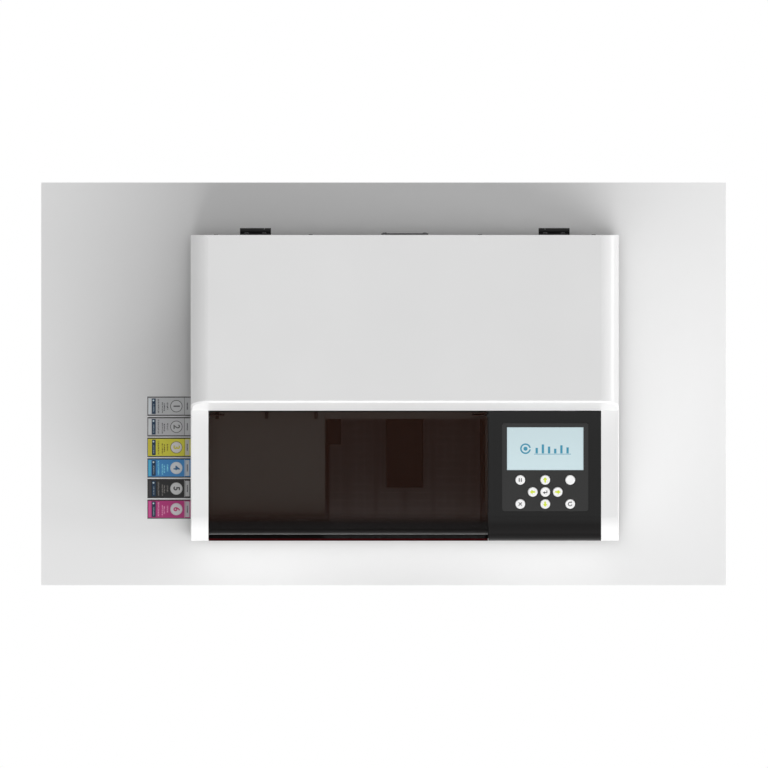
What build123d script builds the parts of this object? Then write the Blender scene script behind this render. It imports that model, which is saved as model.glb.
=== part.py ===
from build123d import *
from math import cos, radians, sin, tan
import os

# A desktop flatbed UV printer: a white casing with a hinged hood over its back half, and a
# sloping deck at the front with a tinted hinged window and a black control panel. Six ink
# cartridges push in from the left. Inside, a carriage runs along X under the hood's front,
# and a bed runs along Y through the front wall, on a platform that lifts it along Z.
# Axes: +X right, +Y to the back, +Z up. The origin is the middle of the whole footprint,
# cartridges and hinges included, on the surface that the printer stands on.

# Casing
body_width = 532.0
body_depth = 380.0
seam_over_nozzles = 108.0  # the seam is where the hood meets the casing
skin = 3.0  # moulded walls
seam_gap = 0.3
border_width = 22.0  # white border at each side of the deck
return_lip = 12.0
edge_bevel = 1.0
foot_height = 12.0
foot_radius = 15.0
foot_inset = 34.0
foot_taper = 6.0  # degrees
round_sides = 16  # of small rounds that repeat many times
sheet = 2.0  # folded sheet metal
pan_lip = 4.0
vent_slots = 8
vent_pitch = 12.0
vent_length = 44.0
vent_width = 4.0
vent_from_back = 70.0
vent_z = 80.0

# Hood
hood_rise = 34.0
hood_front_slope = 17.0  # degrees from upright
hood_side_radius = 22.0
hood_front_bevel = 2.0
hood_rib_depth = 8.0
hood_rib_spacing = 160.0

# Deck, window and control panel
deck_length = 161.7  # from the casing's front to the foot of the hood
deck_tilt = 8.0  # degrees, falling to the front
deck_front_radius = 34.0
window_width = 347.6
window_set_back = 8.0  # front wall of the window behind the casing's front
window_front_radius = 26.5
window_lip_height = 4.0
window_pin_radius = 1.5
window_pin_length = 20.0
window_knuckle_radius = 3.2
window_pin_back = 5.2  # axis in front of the hood's foot
window_pin_depth = 3.7  # axis below the deck
window_pin_plate = 1.5

# Table opening at the front
front_panel_top = 150.0
table_side_gap = 11.0  # beside the bed
table_opening_bottom = 60.0
front_flange = 11.0
opening_corner = 6.0

# Well under the window
floor_over_nozzles = 74.0
bay_left = -99.1
bay_right = 100.0
bay_to_hood = 10.3  # from the bay's back edge to the hood's foot
bay_set_back = 17.2  # from the front
bay_flange = 10.0
well_back_lip = 22.0
well_wall_inset = 10.0
well_clip = (4.4, 8.6, 3.0)
well_clips_x = (-233.2, -171.6, -110.3)

# Keypad
keypad_x = 174.5
keypad_width = 107.6
keypad_length = 111.0
keypad_down = 71.1  # down the slope from the hood's foot to its middle
keypad_corner = 4.0
keypad_recess = 1.5
keypad_thickness = 1.3
keypad_ledge = 2.0
keypad_clearance = 0.2
screen_width = 95.0
screen_length = 53.9
screen_down = 47.8
screen_frame_width = 100.0
screen_frame_length = 57.4
screen_back = 8.0  # below the deck
screen_sink = 0.6
board_thickness = 1.6
button_radius = 5.9
button_hole_radius = 6.2
button_proud = 1.0
button_travel = 0.8
button_flange_size = 14.4
button_flange = 1.0
button_stem_size = 4.4
button_step_x = 15.5
button_step_down = 15.1
button_rows_down = 101.9  # the middle row
switch_size = 6.0
switch_height = 1.0

# Hood hinges
hinge_from_side = 80.5
hinge_length = 38.5
hinge_short_knuckle = 7.8
hinge_radius = 4.2
hinge_axis_back = 4.5
hinge_leaf = 2.0
hinge_leaf_height = 28.0
hinge_shaft_radius = 2.5
running_clearance = 0.05

# Cartridges
cartridge_count = 6
cartridge_width = 24.0
cartridge_pitch = 25.6
cartridge_length = 190.0
cartridge_height = 90.0
cartridge_bottom = 95.0
cartridge_from_front = 39.3  # middle of the foremost one
cartridge_bevel = 1.2
cartridge_clearance = 0.3
bay_wall = 2.0
needle_radius = 1.5
needle_length = 8.0
needle_rise = 10.0
needle_sides = 6
needle_hole_clearance = 0.3
grip_width = 14.0
grip_height = 34.0
grip_depth = 4.0
grip_bevel = 4.0

# Portal frame and X axis
beam_size = 40.0
beam_wall = 3.0
beam_behind_bay = 4.4  # behind the cartridges' block
beam_over_nozzles = 12.0
upright_from_side = 38.0
upright_thickness = 12.0
rail_width = 12.0
rail_height = 8.0
rail_stack = 13.0  # from the rail's foot to the top of its block
block_width = 27.0
block_length = 45.4
block_height = 10.0  # steel body of the block
block_clearance = 0.3
x_rail_left = -105.0
x_rail_right = 182.0
rail_over_nozzles = 24.0
motor_size = 42.3
motor_length = 48.0
motor_chamfer = 4.0
motor_boss_radius = 11.0
motor_boss = 2.0
motor_shaft_radius = 2.5
x_motor_x = 205.0
x_idler_x = -108.0
belt_from_beam = 24.0
belt_width = 6.0
belt_thickness = 1.4
belt_radius = 6.4  # inner face on the pulleys
belt_over_nozzles = 43.0
pulley_teeth = 20
pulley_flange = 1.2
pulley_flange_radius = 8.0
pulley_clearance = 0.3
motor_plate = 3.0
idler_plate = 3.0
tensioner_left = -97.3
tensioner_right = -79.2
tensioner_reach = 66.2  # in front of the beam

# Carriage
carriage_width = 46.0
carriage_length = 85.3
carriage_from_beam = 34.6
nozzle_height = 148.0
carriage_over_nozzles = 50.0
carriage_skin = 2.5
shelf_over_nozzles = 22.0
carriage_shelf_thickness = 3.0
carriage_hem = 4.0  # lower edge of the carriage above the nozzles
head_width = 34.0
head_length = 32.0
head_from_back = 5.4  # of the carriage
head_flange = 3.0
lamp_width = 34.0
lamp_length = 32.0
lamp_from_front = 5.9  # of the carriage
lamp_fins = 6
lamp_fin = 1.6
lamp_fin_height = 12.0
clamp_length = 20.0

# Bed, platform and lift
bed_width = 190.0
bed_length = 300.0
bed_thickness = 10.0
bed_top = 100.0
bed_from_back = 60.0
bed_edge = 1.5
bed_grooves = 5
bed_groove_width = 5.0
bed_groove_depth = 3.0
bed_groove_pitch = 36.0
table_rail_from_edge = 25.0
table_block_set_back = (58.0, 112.0)  # from the platform's front
screw_radius = 4.0
table_screw_z = 66.0
table_nut_from_back = 90.0  # of the bed
table_nut_size = 24.0
table_motor_set_in = 50.0  # from the platform's back
table_screw_set_back = 7.0
screw_seat = 10.0
platform_set_back = 15.0
platform_from_back = 35.0
platform_thickness = 6.0
platform_inset = 5.0  # beside the bed's edge
trough_half_width = 25.0
trough_wall = 4.0
trough_front_wall = 15.0
post_radius = 5.0
post_beside_bed = 11.0
post_room = 23.8  # from a post's middle to the cartridges' end
post_inset = 25.0  # from the platform's ends
post_top = 132.0
post_flange_size = 24.0
post_flange = 4.0
bush_size = 18.0
bush_length = 20.0
ear_reach = 12.0
lift_screw_beside_post = 18.0
lift_screw_set_back = 40.0  # behind the platform's middle
lift_screw_top = 128.0
lift_nut_size = 22.0
lift_nut_height = 20.0
seat_gap = 0.25

# Cap station
cap_left = 117.0
cap_right = 163.0
cap_before_head = 20.0
cap_behind_head = 10.0
tank_height = 46.0
cap_column = 24.0
cap_lip = 2.0
cap_gap = 0.4

# Back: fan, power inlet, USB port
fan_z = 182.0
fan_size = 60.0
fan_depth = 15.0
fan_bore_radius = 28.5
fan_bore_sides = 32
fan_hole_radius = 28.0
fan_hub_radius = 13.0
fan_blades = 7
fan_blade_pitch = 35.0
fan_blade_chord = 11.0
fan_blade_thickness = 1.4
fan_tip_radius = 27.3
fan_axle_radius = 1.5
fan_strut = 3.0
grille_size = 58.4
grille_thickness = 2.2
grille_slots = 8
grille_slot = 3.6
grille_pitch = 6.4
inlet_z = 78.0
inlet_width = 27.0
inlet_height = 47.0
inlet_flange = 2.0
inlet_flange_reach = 3.0
inlet_depth = 24.0
socket_width = 24.0
socket_height = 16.0
socket_depth = 16.0
socket_drop = 12.0
blade_pin = (2.0, 4.0, 10.0)
blade_pin_spread = 7.0
rocker_rise = 13.0
rocker_length = 18.0
rocker_width = 12.0
rocker_tilt = 8.0
rocker_pivot_radius = 1.0
rocker_pocket_depth = 8.0
rocker_ridge = 1.2  # ends of the key above its middle
usb_size = (12.0, 11.0, 16.0)
usb_mouth = (8.5, 7.8, 9.0)
board_z = 24.0
board_width = 100.0
board_from_side = 36.0
board_from_back = 104.0
board_inset = 8.0
standoff_radius = 4.0
standoff_sides = 6
chip_size = 16.0
chip_places = ((16.0, 16.0), (16.0, 40.0), (16.0, 64.0), (48.0, 40.0))  # from the board's corner
chip_height = 3.0
heat_sink_place = (48.0, 16.0)
heat_sink_height = 12.0

# Power supply
supply_from_side = 30.0
supply_width = 97.0
supply_from_back = 11.0
supply_length = 129.0
supply_height = 30.0
supply_terminal = 18.0

# Worked out from the sizes above
tilt = radians(deck_tilt)
half_width = body_width / 2
back = body_depth / 2
front = -back
pan_top = foot_height + sheet
hood_foot = front + deck_length
seam_height = nozzle_height + seam_over_nozzles
well_floor = nozzle_height + floor_over_nozzles
inner_half = half_width - border_width
hinge_out = hinge_axis_back + hinge_radius
hinge_centre_x = half_width - hinge_from_side
inlet_x = -hinge_centre_x
usb_x = hinge_centre_x
vent_y = back - vent_from_back
window_left = -inner_half + seam_gap
window_right = window_left + window_width - 2 * seam_gap
panel_left = window_right + 2 * seam_gap
panel_right = inner_half - seam_gap
deck_end = hood_foot - 2 * seam_gap
window_axis_y = hood_foot - window_pin_back
window_axis_z = seam_height - window_pin_back * tan(tilt) - window_pin_depth
bed_bottom = bed_top - bed_thickness
platform_top = bed_bottom - rail_stack
slot_width = cartridge_width + 2 * cartridge_clearance
slot_height = cartridge_height + 2 * cartridge_clearance
slot_bottom = cartridge_bottom - cartridge_clearance
post_x = bed_width / 2 + post_beside_bed
cartridge_right = -post_x - post_room
cartridge_left = cartridge_right - cartridge_length
cartridge_out = -half_width - cartridge_left
last_cartridge_y = front + cartridge_from_front
cartridge_ys = [last_cartridge_y + cartridge_pitch * i for i in reversed(range(cartridge_count))]
cartridges_back = cartridge_ys[0] + slot_width / 2
cartridges_front = cartridge_ys[-1] - slot_width / 2
bay_back = hood_foot - bay_to_hood
bay_front = front + bay_set_back
beam_front = cartridges_back + bay_wall + beam_behind_bay
beam_bottom = nozzle_height + beam_over_nozzles
beam_top = beam_bottom + beam_size
upright_inner = half_width - upright_from_side
x_rail_z = nozzle_height + rail_over_nozzles
x_belt_y = beam_front - belt_from_beam
belt_bottom = nozzle_height + belt_over_nozzles
tensioner_front = beam_front - tensioner_reach
carriage_back = beam_front - carriage_from_beam
carriage_front = carriage_back - carriage_length
carriage_shelf = nozzle_height + shelf_over_nozzles
carriage_top = nozzle_height + carriage_over_nozzles
head_back = carriage_back - head_from_back
head_front = head_back - head_length
lamp_front = carriage_front + lamp_from_front
lamp_back = lamp_front + lamp_length
cap_front = head_front - cap_before_head
cap_back = head_back + cap_behind_head
platform_front = front + platform_set_back
platform_back = back - platform_from_back
platform_half_width = bed_width / 2 - platform_inset
post_y = (platform_front + post_inset, platform_back - post_inset)
bed_back = back - bed_from_back
table_rail_x = bed_width / 2 - table_rail_from_edge
table_block_y = [platform_front + set_back for set_back in table_block_set_back]
table_nut_y = bed_back - table_nut_from_back
table_motor_front = platform_back - table_motor_set_in
table_screw_front = platform_front + table_screw_set_back
table_opening_width = bed_width + 2 * table_side_gap
lift_screw_x = post_x + lift_screw_beside_post
lift_screw_y = (platform_front + platform_back) / 2 + lift_screw_set_back
board_right = half_width - board_from_side
board_left = board_right - board_width
board_front = back - board_from_back
supply_left = -half_width + supply_from_side
supply_front = back - supply_from_back - supply_length
pulley_bottom = belt_bottom - pulley_clearance - pulley_flange
pulley_top = belt_bottom + belt_width + pulley_clearance + pulley_flange
motor_plate_bottom = pulley_bottom - pulley_clearance - motor_plate

# Planes through the middle of the casing: from above, from the right and from the front
ground = Plane(origin=(cartridge_out / 2, -hinge_out / 2, 0))
across = Plane(origin=ground.origin, x_dir=(0, 1, 0), z_dir=(1, 0, 0))
facing = Plane(origin=ground.origin, x_dir=(1, 0, 0), z_dir=(0, -1, 0))
deck = Plane(
    origin=ground.origin + Vector(0, hood_foot, seam_height),
    x_dir=(1, 0, 0),
    z_dir=(0, -sin(tilt), cos(tilt)),
)
deck_normal = Axis(deck.origin, deck.z_dir)

os.makedirs("parts", exist_ok=True)


def save(piece, name):
    """Label a finished piece and write it to its own file."""
    piece.part.label = name
    export_step(piece.part, f"parts/{name}.step")


def deck_level(y, inset=0.0):
    """Height at depth y of the deck line, moved in by inset."""
    return seam_height - inset / cos(tilt) - (hood_foot - y) * tan(tilt)


def deck_area(front_y, radius, inset, bottom, back_y):
    """Area in Y and Z under the deck line and behind a front wall, both moved in by inset."""
    corner = (front_y + inset, deck_level(front_y + inset, inset))
    with BuildSketch(mode=Mode.PRIVATE) as area:
        with BuildLine():
            Polyline(
                corner,
                (front_y + inset, bottom),
                (back_y, bottom),
                (back_y, deck_level(back_y, inset)),
                close=True,
            )
        make_face()
        if radius > inset:
            fillet(area.vertices().sort_by_distance(corner)[0], radius - inset)
    return area.sketch


def side_area(inset):
    """Area in Y and Z of the casing seen from the side, moved in by inset."""
    corner = (front + inset, deck_level(front + inset, inset))
    with BuildSketch(mode=Mode.PRIVATE) as area:
        with BuildLine():
            Polyline(
                corner,
                (front + inset, pan_top + inset),
                (back - inset, pan_top + inset),
                (back - inset, seam_height - inset),
                (hood_foot + inset * tan(tilt / 2), seam_height - inset),
                close=True,
            )
        make_face()
        fillet(area.vertices().sort_by_distance(corner)[0], deck_front_radius - inset)
    return area.sketch


def slab(x_range, y_range, z_range, mode=Mode.ADD):
    """Extrude a rectangle on the ground plane between two heights."""
    width = x_range[1] - x_range[0]
    depth = y_range[1] - y_range[0]
    with BuildSketch(ground.offset(z_range[0])) as outline:
        with Locations((x_range[0] + width / 2, y_range[0] + depth / 2)):
            Rectangle(width, depth)
    extrude(outline.sketch, amount=z_range[1] - z_range[0], mode=mode)


def post(x, y, radius, z_range, mode=Mode.ADD):
    """Extrude an upright cylinder between two heights."""
    with BuildSketch(ground.offset(z_range[0])) as outline:
        with Locations((x, y)):
            Circle(radius)
    extrude(outline.sketch, amount=z_range[1] - z_range[0], mode=mode)


def bar(y, z, radius, x_range, mode=Mode.ADD):
    """Extrude a cylinder along X between two places."""
    with BuildSketch(across.offset(x_range[0])) as outline:
        with Locations((y, z)):
            Circle(radius)
    extrude(outline.sketch, amount=x_range[1] - x_range[0], mode=mode)


def spindle(x, z, radius, y_range, mode=Mode.ADD):
    """Extrude a cylinder along Y between two places."""
    with BuildSketch(facing.offset(-y_range[1])) as outline:
        with Locations((x, z)):
            Circle(radius)
    extrude(outline.sketch, amount=y_range[1] - y_range[0], mode=mode)


def barrel(y, z, radius, x_range):
    """Extrude a many-sided bar along X between two places."""
    with BuildSketch(across.offset(x_range[0])) as outline:
        with Locations((y, z)):
            RegularPolygon(radius, round_sides)
    extrude(outline.sketch, amount=x_range[1] - x_range[0])


def block(x, y, size, z_range, mode=Mode.ADD):
    """Extrude a square about a place between two heights."""
    slab((x - size / 2, x + size / 2), (y - size / 2, y + size / 2), z_range, mode)


def side_tray(side):
    """A side panel: wall, deck border and a return lip all round; side is -1 left or 1 right."""
    with BuildPart() as tray:
        with BuildSketch(across.offset(side * half_width)):
            add(side_area(0))
        extrude(amount=-side * border_width)
        outer_face = tray.faces().sort_by(Axis.X, reverse=side < 0)[-1]
        chamfer(outer_face.edges(), edge_bevel)
        with BuildSketch(across.offset(side * (half_width - skin))):
            add(side_area(skin))
        extrude(amount=-side * (border_width - 2 * skin), mode=Mode.SUBTRACT)
        with BuildSketch(across.offset(side * inner_half)):
            add(side_area(return_lip))
        extrude(amount=side * skin, mode=Mode.SUBTRACT)
    return tray.part


def hood_block(inset, bottom):
    """The hood's outline moved in by inset: a rounded top extruded in Y, with a sloping front."""
    top = seam_height + hood_rise - inset
    reach = half_width - inset
    lean = tan(radians(hood_front_slope))
    slope_inset = inset / cos(radians(hood_front_slope))
    foot = hood_foot + slope_inset - (seam_height - bottom) * lean
    with BuildPart() as block:
        with BuildSketch(across.offset(-reach)):
            with BuildLine():
                Polyline(
                    (back - inset, bottom),
                    (back - inset, top),
                    (foot + (top - bottom) * lean, top),
                    (foot, bottom),
                    close=True,
                )
            make_face()
        extrude(amount=2 * reach)
        long_edges = block.edges().filter_by(Axis.Y).group_by(Axis.Z)[-1]
        fillet(long_edges, hood_side_radius - inset)
    return block.part


def step_motor(mount, bore_radius, bore_depth):
    """A square stepping motor behind its mounting face, with a boss and a bore in the shaft end."""
    with BuildPart() as motor:
        with BuildSketch(mount) as outline:
            Rectangle(motor_size, motor_size)
            chamfer(outline.vertices(), motor_chamfer)
        extrude(amount=-motor_length)
        with BuildSketch(mount):
            RegularPolygon(motor_boss_radius, round_sides)
        extrude(amount=motor_boss)
        with BuildSketch(mount.offset(motor_boss)):
            Circle(bore_radius)
        extrude(amount=-bore_depth, mode=Mode.SUBTRACT)
    return motor.part


# Base pan: a floor with its edge turned down, standing on four rubber feet
foot_places = [
    (x, y)
    for x in (-half_width + foot_inset, half_width - foot_inset)
    for y in (front + foot_inset, back - foot_inset)
]
with BuildPart() as base_pan:
    with BuildSketch(ground.offset(pan_top)):
        Rectangle(body_width - 2 * sheet, body_depth - 2 * sheet)
    extrude(amount=-sheet - pan_lip)
    offset(amount=-sheet, openings=base_pan.faces().sort_by(Axis.Z)[0])
save(base_pan, "base_pan")

with BuildPart() as feet:
    with BuildSketch(ground.offset(foot_height)):
        with Locations(*foot_places):
            RegularPolygon(foot_radius, round_sides)
    extrude(amount=-foot_height, taper=foot_taper)
save(feet, "feet")

# Side panels: the left one is cut open for the cartridges, the right one has cooling slots
cartridge_wall = side_tray(-1)
plain_wall = side_tray(1)
with BuildPart() as left_side_panel:
    add(cartridge_wall)
    with BuildSketch(across.offset(-half_width)):
        with Locations(((cartridges_front + cartridges_back) / 2, slot_bottom + slot_height / 2)):
            Rectangle(cartridges_back - cartridges_front, slot_height)
    extrude(amount=skin, mode=Mode.SUBTRACT)
save(left_side_panel, "left_side_panel")

with BuildPart() as right_side_panel:
    add(plain_wall)
    with BuildSketch(across.offset(half_width)):
        with Locations((vent_y, vent_z)):
            with GridLocations(vent_pitch, vent_pitch, vent_slots, 1):
                Rectangle(vent_width, vent_length)
    extrude(amount=-skin, mode=Mode.SUBTRACT)
save(right_side_panel, "right_side_panel")

# Front panel: the wall under the window, with the table opening cut down from its top edge
half_opening = table_opening_width / 2
half_front = inner_half - seam_gap
with BuildPart() as front_panel:
    with BuildSketch(facing.offset(-front)) as front_outline:
        with BuildLine():
            Polyline(
                (-half_front, pan_top),
                (half_front, pan_top),
                (half_front, front_panel_top),
                (half_opening, front_panel_top),
                (half_opening, table_opening_bottom),
                (-half_opening, table_opening_bottom),
                (-half_opening, front_panel_top),
                (-half_front, front_panel_top),
                close=True,
            )
        make_face()
        fillet(
            [
                front_outline.vertices().sort_by_distance((x, table_opening_bottom))[0]
                for x in (-half_opening, half_opening)
            ],
            opening_corner,
        )
    extrude(amount=-skin)
    flange_y = (front, front + front_flange)
    lower_end = table_opening_bottom + opening_corner
    for side in (-1, 1):
        near = sorted((side * half_opening, side * (half_opening + skin)))
        across_top = sorted((side * half_opening, side * half_front))
        slab(near, flange_y, (lower_end, front_panel_top))
        slab(across_top, flange_y, (front_panel_top - skin, front_panel_top))
    flat_bottom = half_opening - opening_corner
    sill_z = (table_opening_bottom - skin, table_opening_bottom)
    slab((-flat_bottom, flat_bottom), flange_y, sill_z)
save(front_panel, "front_panel")

# Back panel with the fan hole, the power inlet's cut-out and the USB cut-out
usb_z = board_z + board_thickness + usb_size[1] / 2
with BuildPart() as rear_panel:
    with BuildSketch(facing.offset(-back + skin)):
        with Locations((0, (pan_top + seam_height) / 2)):
            Rectangle(2 * half_front, seam_height - pan_top)
        with Locations((0, fan_z)):
            Circle(fan_hole_radius, mode=Mode.SUBTRACT)
        with Locations((inlet_x, inlet_z)):
            Rectangle(inlet_width + 2 * seam_gap, inlet_height + 2 * seam_gap, mode=Mode.SUBTRACT)
        with Locations((usb_x, usb_z)):
            Rectangle(usb_size[0] + 2 * seam_gap, usb_size[1] + 2 * seam_gap, mode=Mode.SUBTRACT)
    extrude(amount=-skin)
save(rear_panel, "rear_panel")

# Hood: the outer block less the same block moved in by the wall, with ribs under its top
hood_seam = seam_height + seam_gap
hood_outside = hood_block(0, hood_seam)
hood_inside = hood_block(skin, hood_seam - skin)
with BuildPart() as hood:
    add(hood_outside)
    front_face = hood.faces().filter_by(GeomType.PLANE).sort_by(Axis.Y)[0]
    chamfer(front_face.edges().filter_by(Axis.X).sort_by(Axis.Z)[-1], hood_front_bevel)
    add(hood_inside, mode=Mode.SUBTRACT)
    roof = seam_height + hood_rise - skin
    for x in (-hood_rib_spacing, 0, hood_rib_spacing):
        slab(
            (x - skin / 2, x + skin / 2),
            (hood_foot + hood_rise, back - skin),
            (roof - hood_rib_depth, roof),
        )
save(hood, "hood")

# Hood hinges: long barrels fixed to the casing, short knuckles and shafts that turn in them
barrel_ends = []
for side in (-1, 1):
    inner = side * (hinge_centre_x - hinge_length / 2)
    split = inner + side * hinge_short_knuckle
    outer = inner + side * hinge_length
    barrel_ends.append((inner, split, outer, side))
hinge_y = back + hinge_axis_back
leaf_y = (back, back + hinge_leaf)
with BuildPart() as hood_hinge_barrels:
    for inner, split, outer, side in barrel_ends:
        start = split + side * seam_gap
        barrel(hinge_y, seam_height, hinge_radius, (start, outer))
        low = seam_height - hinge_leaf_height
        slab(sorted((start, outer)), leaf_y, (low, seam_height))
        below_knuckle = seam_height - hinge_radius - 2 * seam_gap
        slab(sorted((inner, start)), leaf_y, (low, below_knuckle))
        shaft_end = outer - side * hinge_leaf
        bore = hinge_shaft_radius + running_clearance
        bar(hinge_y, seam_height, bore, (start, shaft_end), mode=Mode.SUBTRACT)
save(hood_hinge_barrels, "hood_hinge_barrels")

with BuildPart() as hood_hinge_knuckles:
    for inner, split, outer, side in barrel_ends:
        shaft_end = outer - side * (hinge_leaf + seam_gap)
        barrel(hinge_y, seam_height, hinge_radius, (inner, split))
        bar(hinge_y, seam_height, hinge_shaft_radius, (split, shaft_end))
        above_barrel = seam_height + hinge_radius + 2 * seam_gap
        high = seam_height + hinge_leaf_height
        slab(sorted((inner, outer)), leaf_y, (above_barrel, high))
        slab(sorted((inner, split)), leaf_y, (seam_height, above_barrel))
save(hood_hinge_knuckles, "hood_hinge_knuckles")

# Window: one bent sheet with a finger lip along its lower edge and two hinge knuckles
window_front = front + window_set_back
window_bottom = front_panel_top + 2 * seam_gap
window_sheet = deck_area(window_front, window_front_radius, 0, window_bottom, deck_end)
window_inside = deck_area(window_front, window_front_radius, skin, 0, back)
knuckle_left = -inner_half + window_pin_plate + seam_gap
knuckle_right = panel_left - window_pin_plate - seam_gap
with BuildPart() as window:
    with BuildSketch(across.offset(window_left)):
        add(window_sheet)
        add(window_inside, mode=Mode.SUBTRACT)
        lip_length = window_set_back + skin
        with Locations((front + lip_length / 2, window_bottom + window_lip_height / 2)):
            Rectangle(lip_length, window_lip_height)
    extrude(amount=window_right - window_left)
    notch_y = (window_axis_y - window_knuckle_radius - seam_gap, deck_end + seam_gap)
    notch_z = (window_axis_z - 2 * window_knuckle_radius, seam_height)
    slab((window_left, knuckle_left), notch_y, notch_z, mode=Mode.SUBTRACT)
    slab((knuckle_right, window_right), notch_y, notch_z, mode=Mode.SUBTRACT)
    left_knuckle = (knuckle_left, -inner_half + window_pin_length)
    right_knuckle = (panel_left - window_pin_length, knuckle_right)
    for span in (left_knuckle, right_knuckle):
        barrel(window_axis_y, window_axis_z, window_knuckle_radius, span)
        bore = window_pin_radius + running_clearance
        bar(window_axis_y, window_axis_z, bore, span, mode=Mode.SUBTRACT)
save(window, "window")

with BuildPart() as window_hinge_pins:
    for root, direction in ((-inner_half, 1), (panel_left, -1)):
        plate_end = root + direction * window_pin_plate
        tip = root + direction * window_pin_length
        barrel(window_axis_y, window_axis_z, window_knuckle_radius, (root, plate_end))
        bar(window_axis_y, window_axis_z, window_pin_radius, (plate_end, tip))
save(window_hinge_pins, "window_hinge_pins")

# Well under the window: a folded sheet with side walls up to the window, an apron at the
# front, a lip at the back, and a bay opening with its edges turned down over the carriage
well_left = window_left
well_right = window_right
well_front = bay_front - sheet
well_back = hood_foot + sheet
apron_y = (well_front, well_front + sheet)
well_wall = deck_area(well_front, 0, well_wall_inset, well_floor - sheet, hood_foot)
with BuildPart() as inner_deck:
    slab((well_left, well_right), (well_front, well_back), (well_floor - sheet, well_floor))
    slab((well_left, well_right), apron_y, (front_panel_top, well_floor))
    for x in (well_left, well_right - sheet):
        with BuildSketch(across.offset(x)):
            add(well_wall)
        extrude(amount=sheet)
    lip_z = (well_floor, well_floor + well_back_lip)
    slab((well_left, well_right), (well_back - sheet, well_back), lip_z)
    turned_z = (well_floor - bay_flange - sheet, well_floor)
    slab(
        (bay_left - sheet, bay_right + sheet),
        (bay_front - sheet, bay_back + sheet),
        turned_z,
    )
    slab((bay_left, bay_right), (bay_front, bay_back), turned_z, mode=Mode.SUBTRACT)
    for x in well_clips_x:
        slab(
            (x - well_clip[0] / 2, x + well_clip[0] / 2),
            (bay_back, bay_back + well_clip[1]),
            (well_floor, well_floor + well_clip[2]),
        )
save(inner_deck, "inner_deck")

# Control panel: a moulding with the deck's own curve, cut for the keypad on a ledge
panel_outline = deck_area(front, deck_front_radius, 0, window_bottom, deck_end)
panel_inside = deck_area(front, deck_front_radius, skin, 0, back)
panel_core = deck_area(front, deck_front_radius, return_lip + skin, 0, back)
with BuildPart() as control_panel:
    with BuildSketch(across.offset(panel_left)):
        add(panel_outline)
        add(panel_core, mode=Mode.SUBTRACT)
    extrude(amount=panel_right - panel_left)
    with BuildSketch(across.offset(panel_left + skin)):
        add(panel_inside)
    extrude(amount=panel_right - panel_left - 2 * skin, mode=Mode.SUBTRACT)
    with BuildSketch(deck):
        with Locations((keypad_x, -keypad_down)):
            RectangleRounded(keypad_width, keypad_length, keypad_corner)
    extrude(amount=-keypad_recess, mode=Mode.SUBTRACT)
    with BuildSketch(deck):
        with Locations((keypad_x, -keypad_down)):
            Rectangle(keypad_width - 2 * keypad_ledge, keypad_length - 2 * keypad_ledge)
    extrude(amount=-skin - keypad_recess, mode=Mode.SUBTRACT)
save(control_panel, "control_panel")

# Keypad plate with the screen's opening and nine button holes
button_places = {
    "button_upper_left": (-2, 1),
    "button_up": (0, 1),
    "button_upper_right": (2, 1),
    "button_left": (-1, 0),
    "button_enter": (0, 0),
    "button_right": (1, 0),
    "button_lower_left": (-2, -1),
    "button_down": (0, -1),
    "button_lower_right": (2, -1),
}
button_centres = {
    name: (keypad_x + column * button_step_x, -button_rows_down + row * button_step_down)
    for name, (column, row) in button_places.items()
}
with BuildPart() as keypad_plate:
    with BuildSketch(deck.offset(-keypad_recess)):
        with Locations((keypad_x, -keypad_down)):
            RectangleRounded(
                keypad_width - 2 * keypad_clearance,
                keypad_length - 2 * keypad_clearance,
                keypad_corner - keypad_clearance,
            )
        with Locations((keypad_x, -screen_down)):
            Rectangle(screen_width, screen_length, mode=Mode.SUBTRACT)
        with Locations(*button_centres.values()):
            RegularPolygon(
                button_hole_radius, round_sides, major_radius=False, mode=Mode.SUBTRACT
            )
    extrude(amount=keypad_thickness)
save(keypad_plate, "keypad_plate")

# Screen: a frame behind the keypad plate and a glass face in its opening
plate_back = keypad_recess + seam_gap
with BuildPart() as lcd_screen:
    with BuildSketch(deck.offset(-screen_back)):
        with Locations((keypad_x, -screen_down)):
            Rectangle(screen_frame_width, screen_frame_length)
    extrude(amount=screen_back - plate_back)
    with BuildSketch(deck.offset(-plate_back)):
        with Locations((keypad_x, -screen_down)):
            Rectangle(screen_width - 2 * seam_gap, screen_length - 2 * seam_gap)
    extrude(amount=plate_back - screen_sink)
save(lcd_screen, "lcd_screen")

with BuildPart() as keypad_board:
    with BuildSketch(deck.offset(-screen_back)):
        with Locations((keypad_x, -keypad_down)):
            Rectangle(keypad_width - 2 * keypad_ledge, keypad_length - 2 * keypad_ledge)
    extrude(amount=-board_thickness)
    with BuildSketch(deck.offset(-screen_back)):
        with Locations(*button_centres.values()):
            Rectangle(switch_size, switch_size)
    extrude(amount=switch_height)
save(keypad_board, "keypad_board")

# Buttons: a bevelled cap, a flange that keeps it under the plate, and a stem to its switch
button_foot = screen_back - switch_height - button_travel - seam_gap / 3
for name, centre in button_centres.items():
    with BuildPart() as button:
        with BuildSketch(deck.offset(-plate_back - button_flange)):
            with Locations(centre):
                RegularPolygon(button_radius, round_sides)
        extrude(amount=plate_back + button_flange + button_proud)
        chamfer(button.faces().sort_by(deck_normal)[-1].edges(), button_proud / 2)
        with BuildSketch(deck.offset(-plate_back - button_flange)):
            with Locations(centre):
                Rectangle(button_flange_size, button_flange_size)
        extrude(amount=button_flange)
        with BuildSketch(deck.offset(-button_foot)):
            with Locations(centre):
                Rectangle(button_stem_size, button_stem_size)
        extrude(amount=button_foot - plate_back - button_flange)
    save(button, name)

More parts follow.
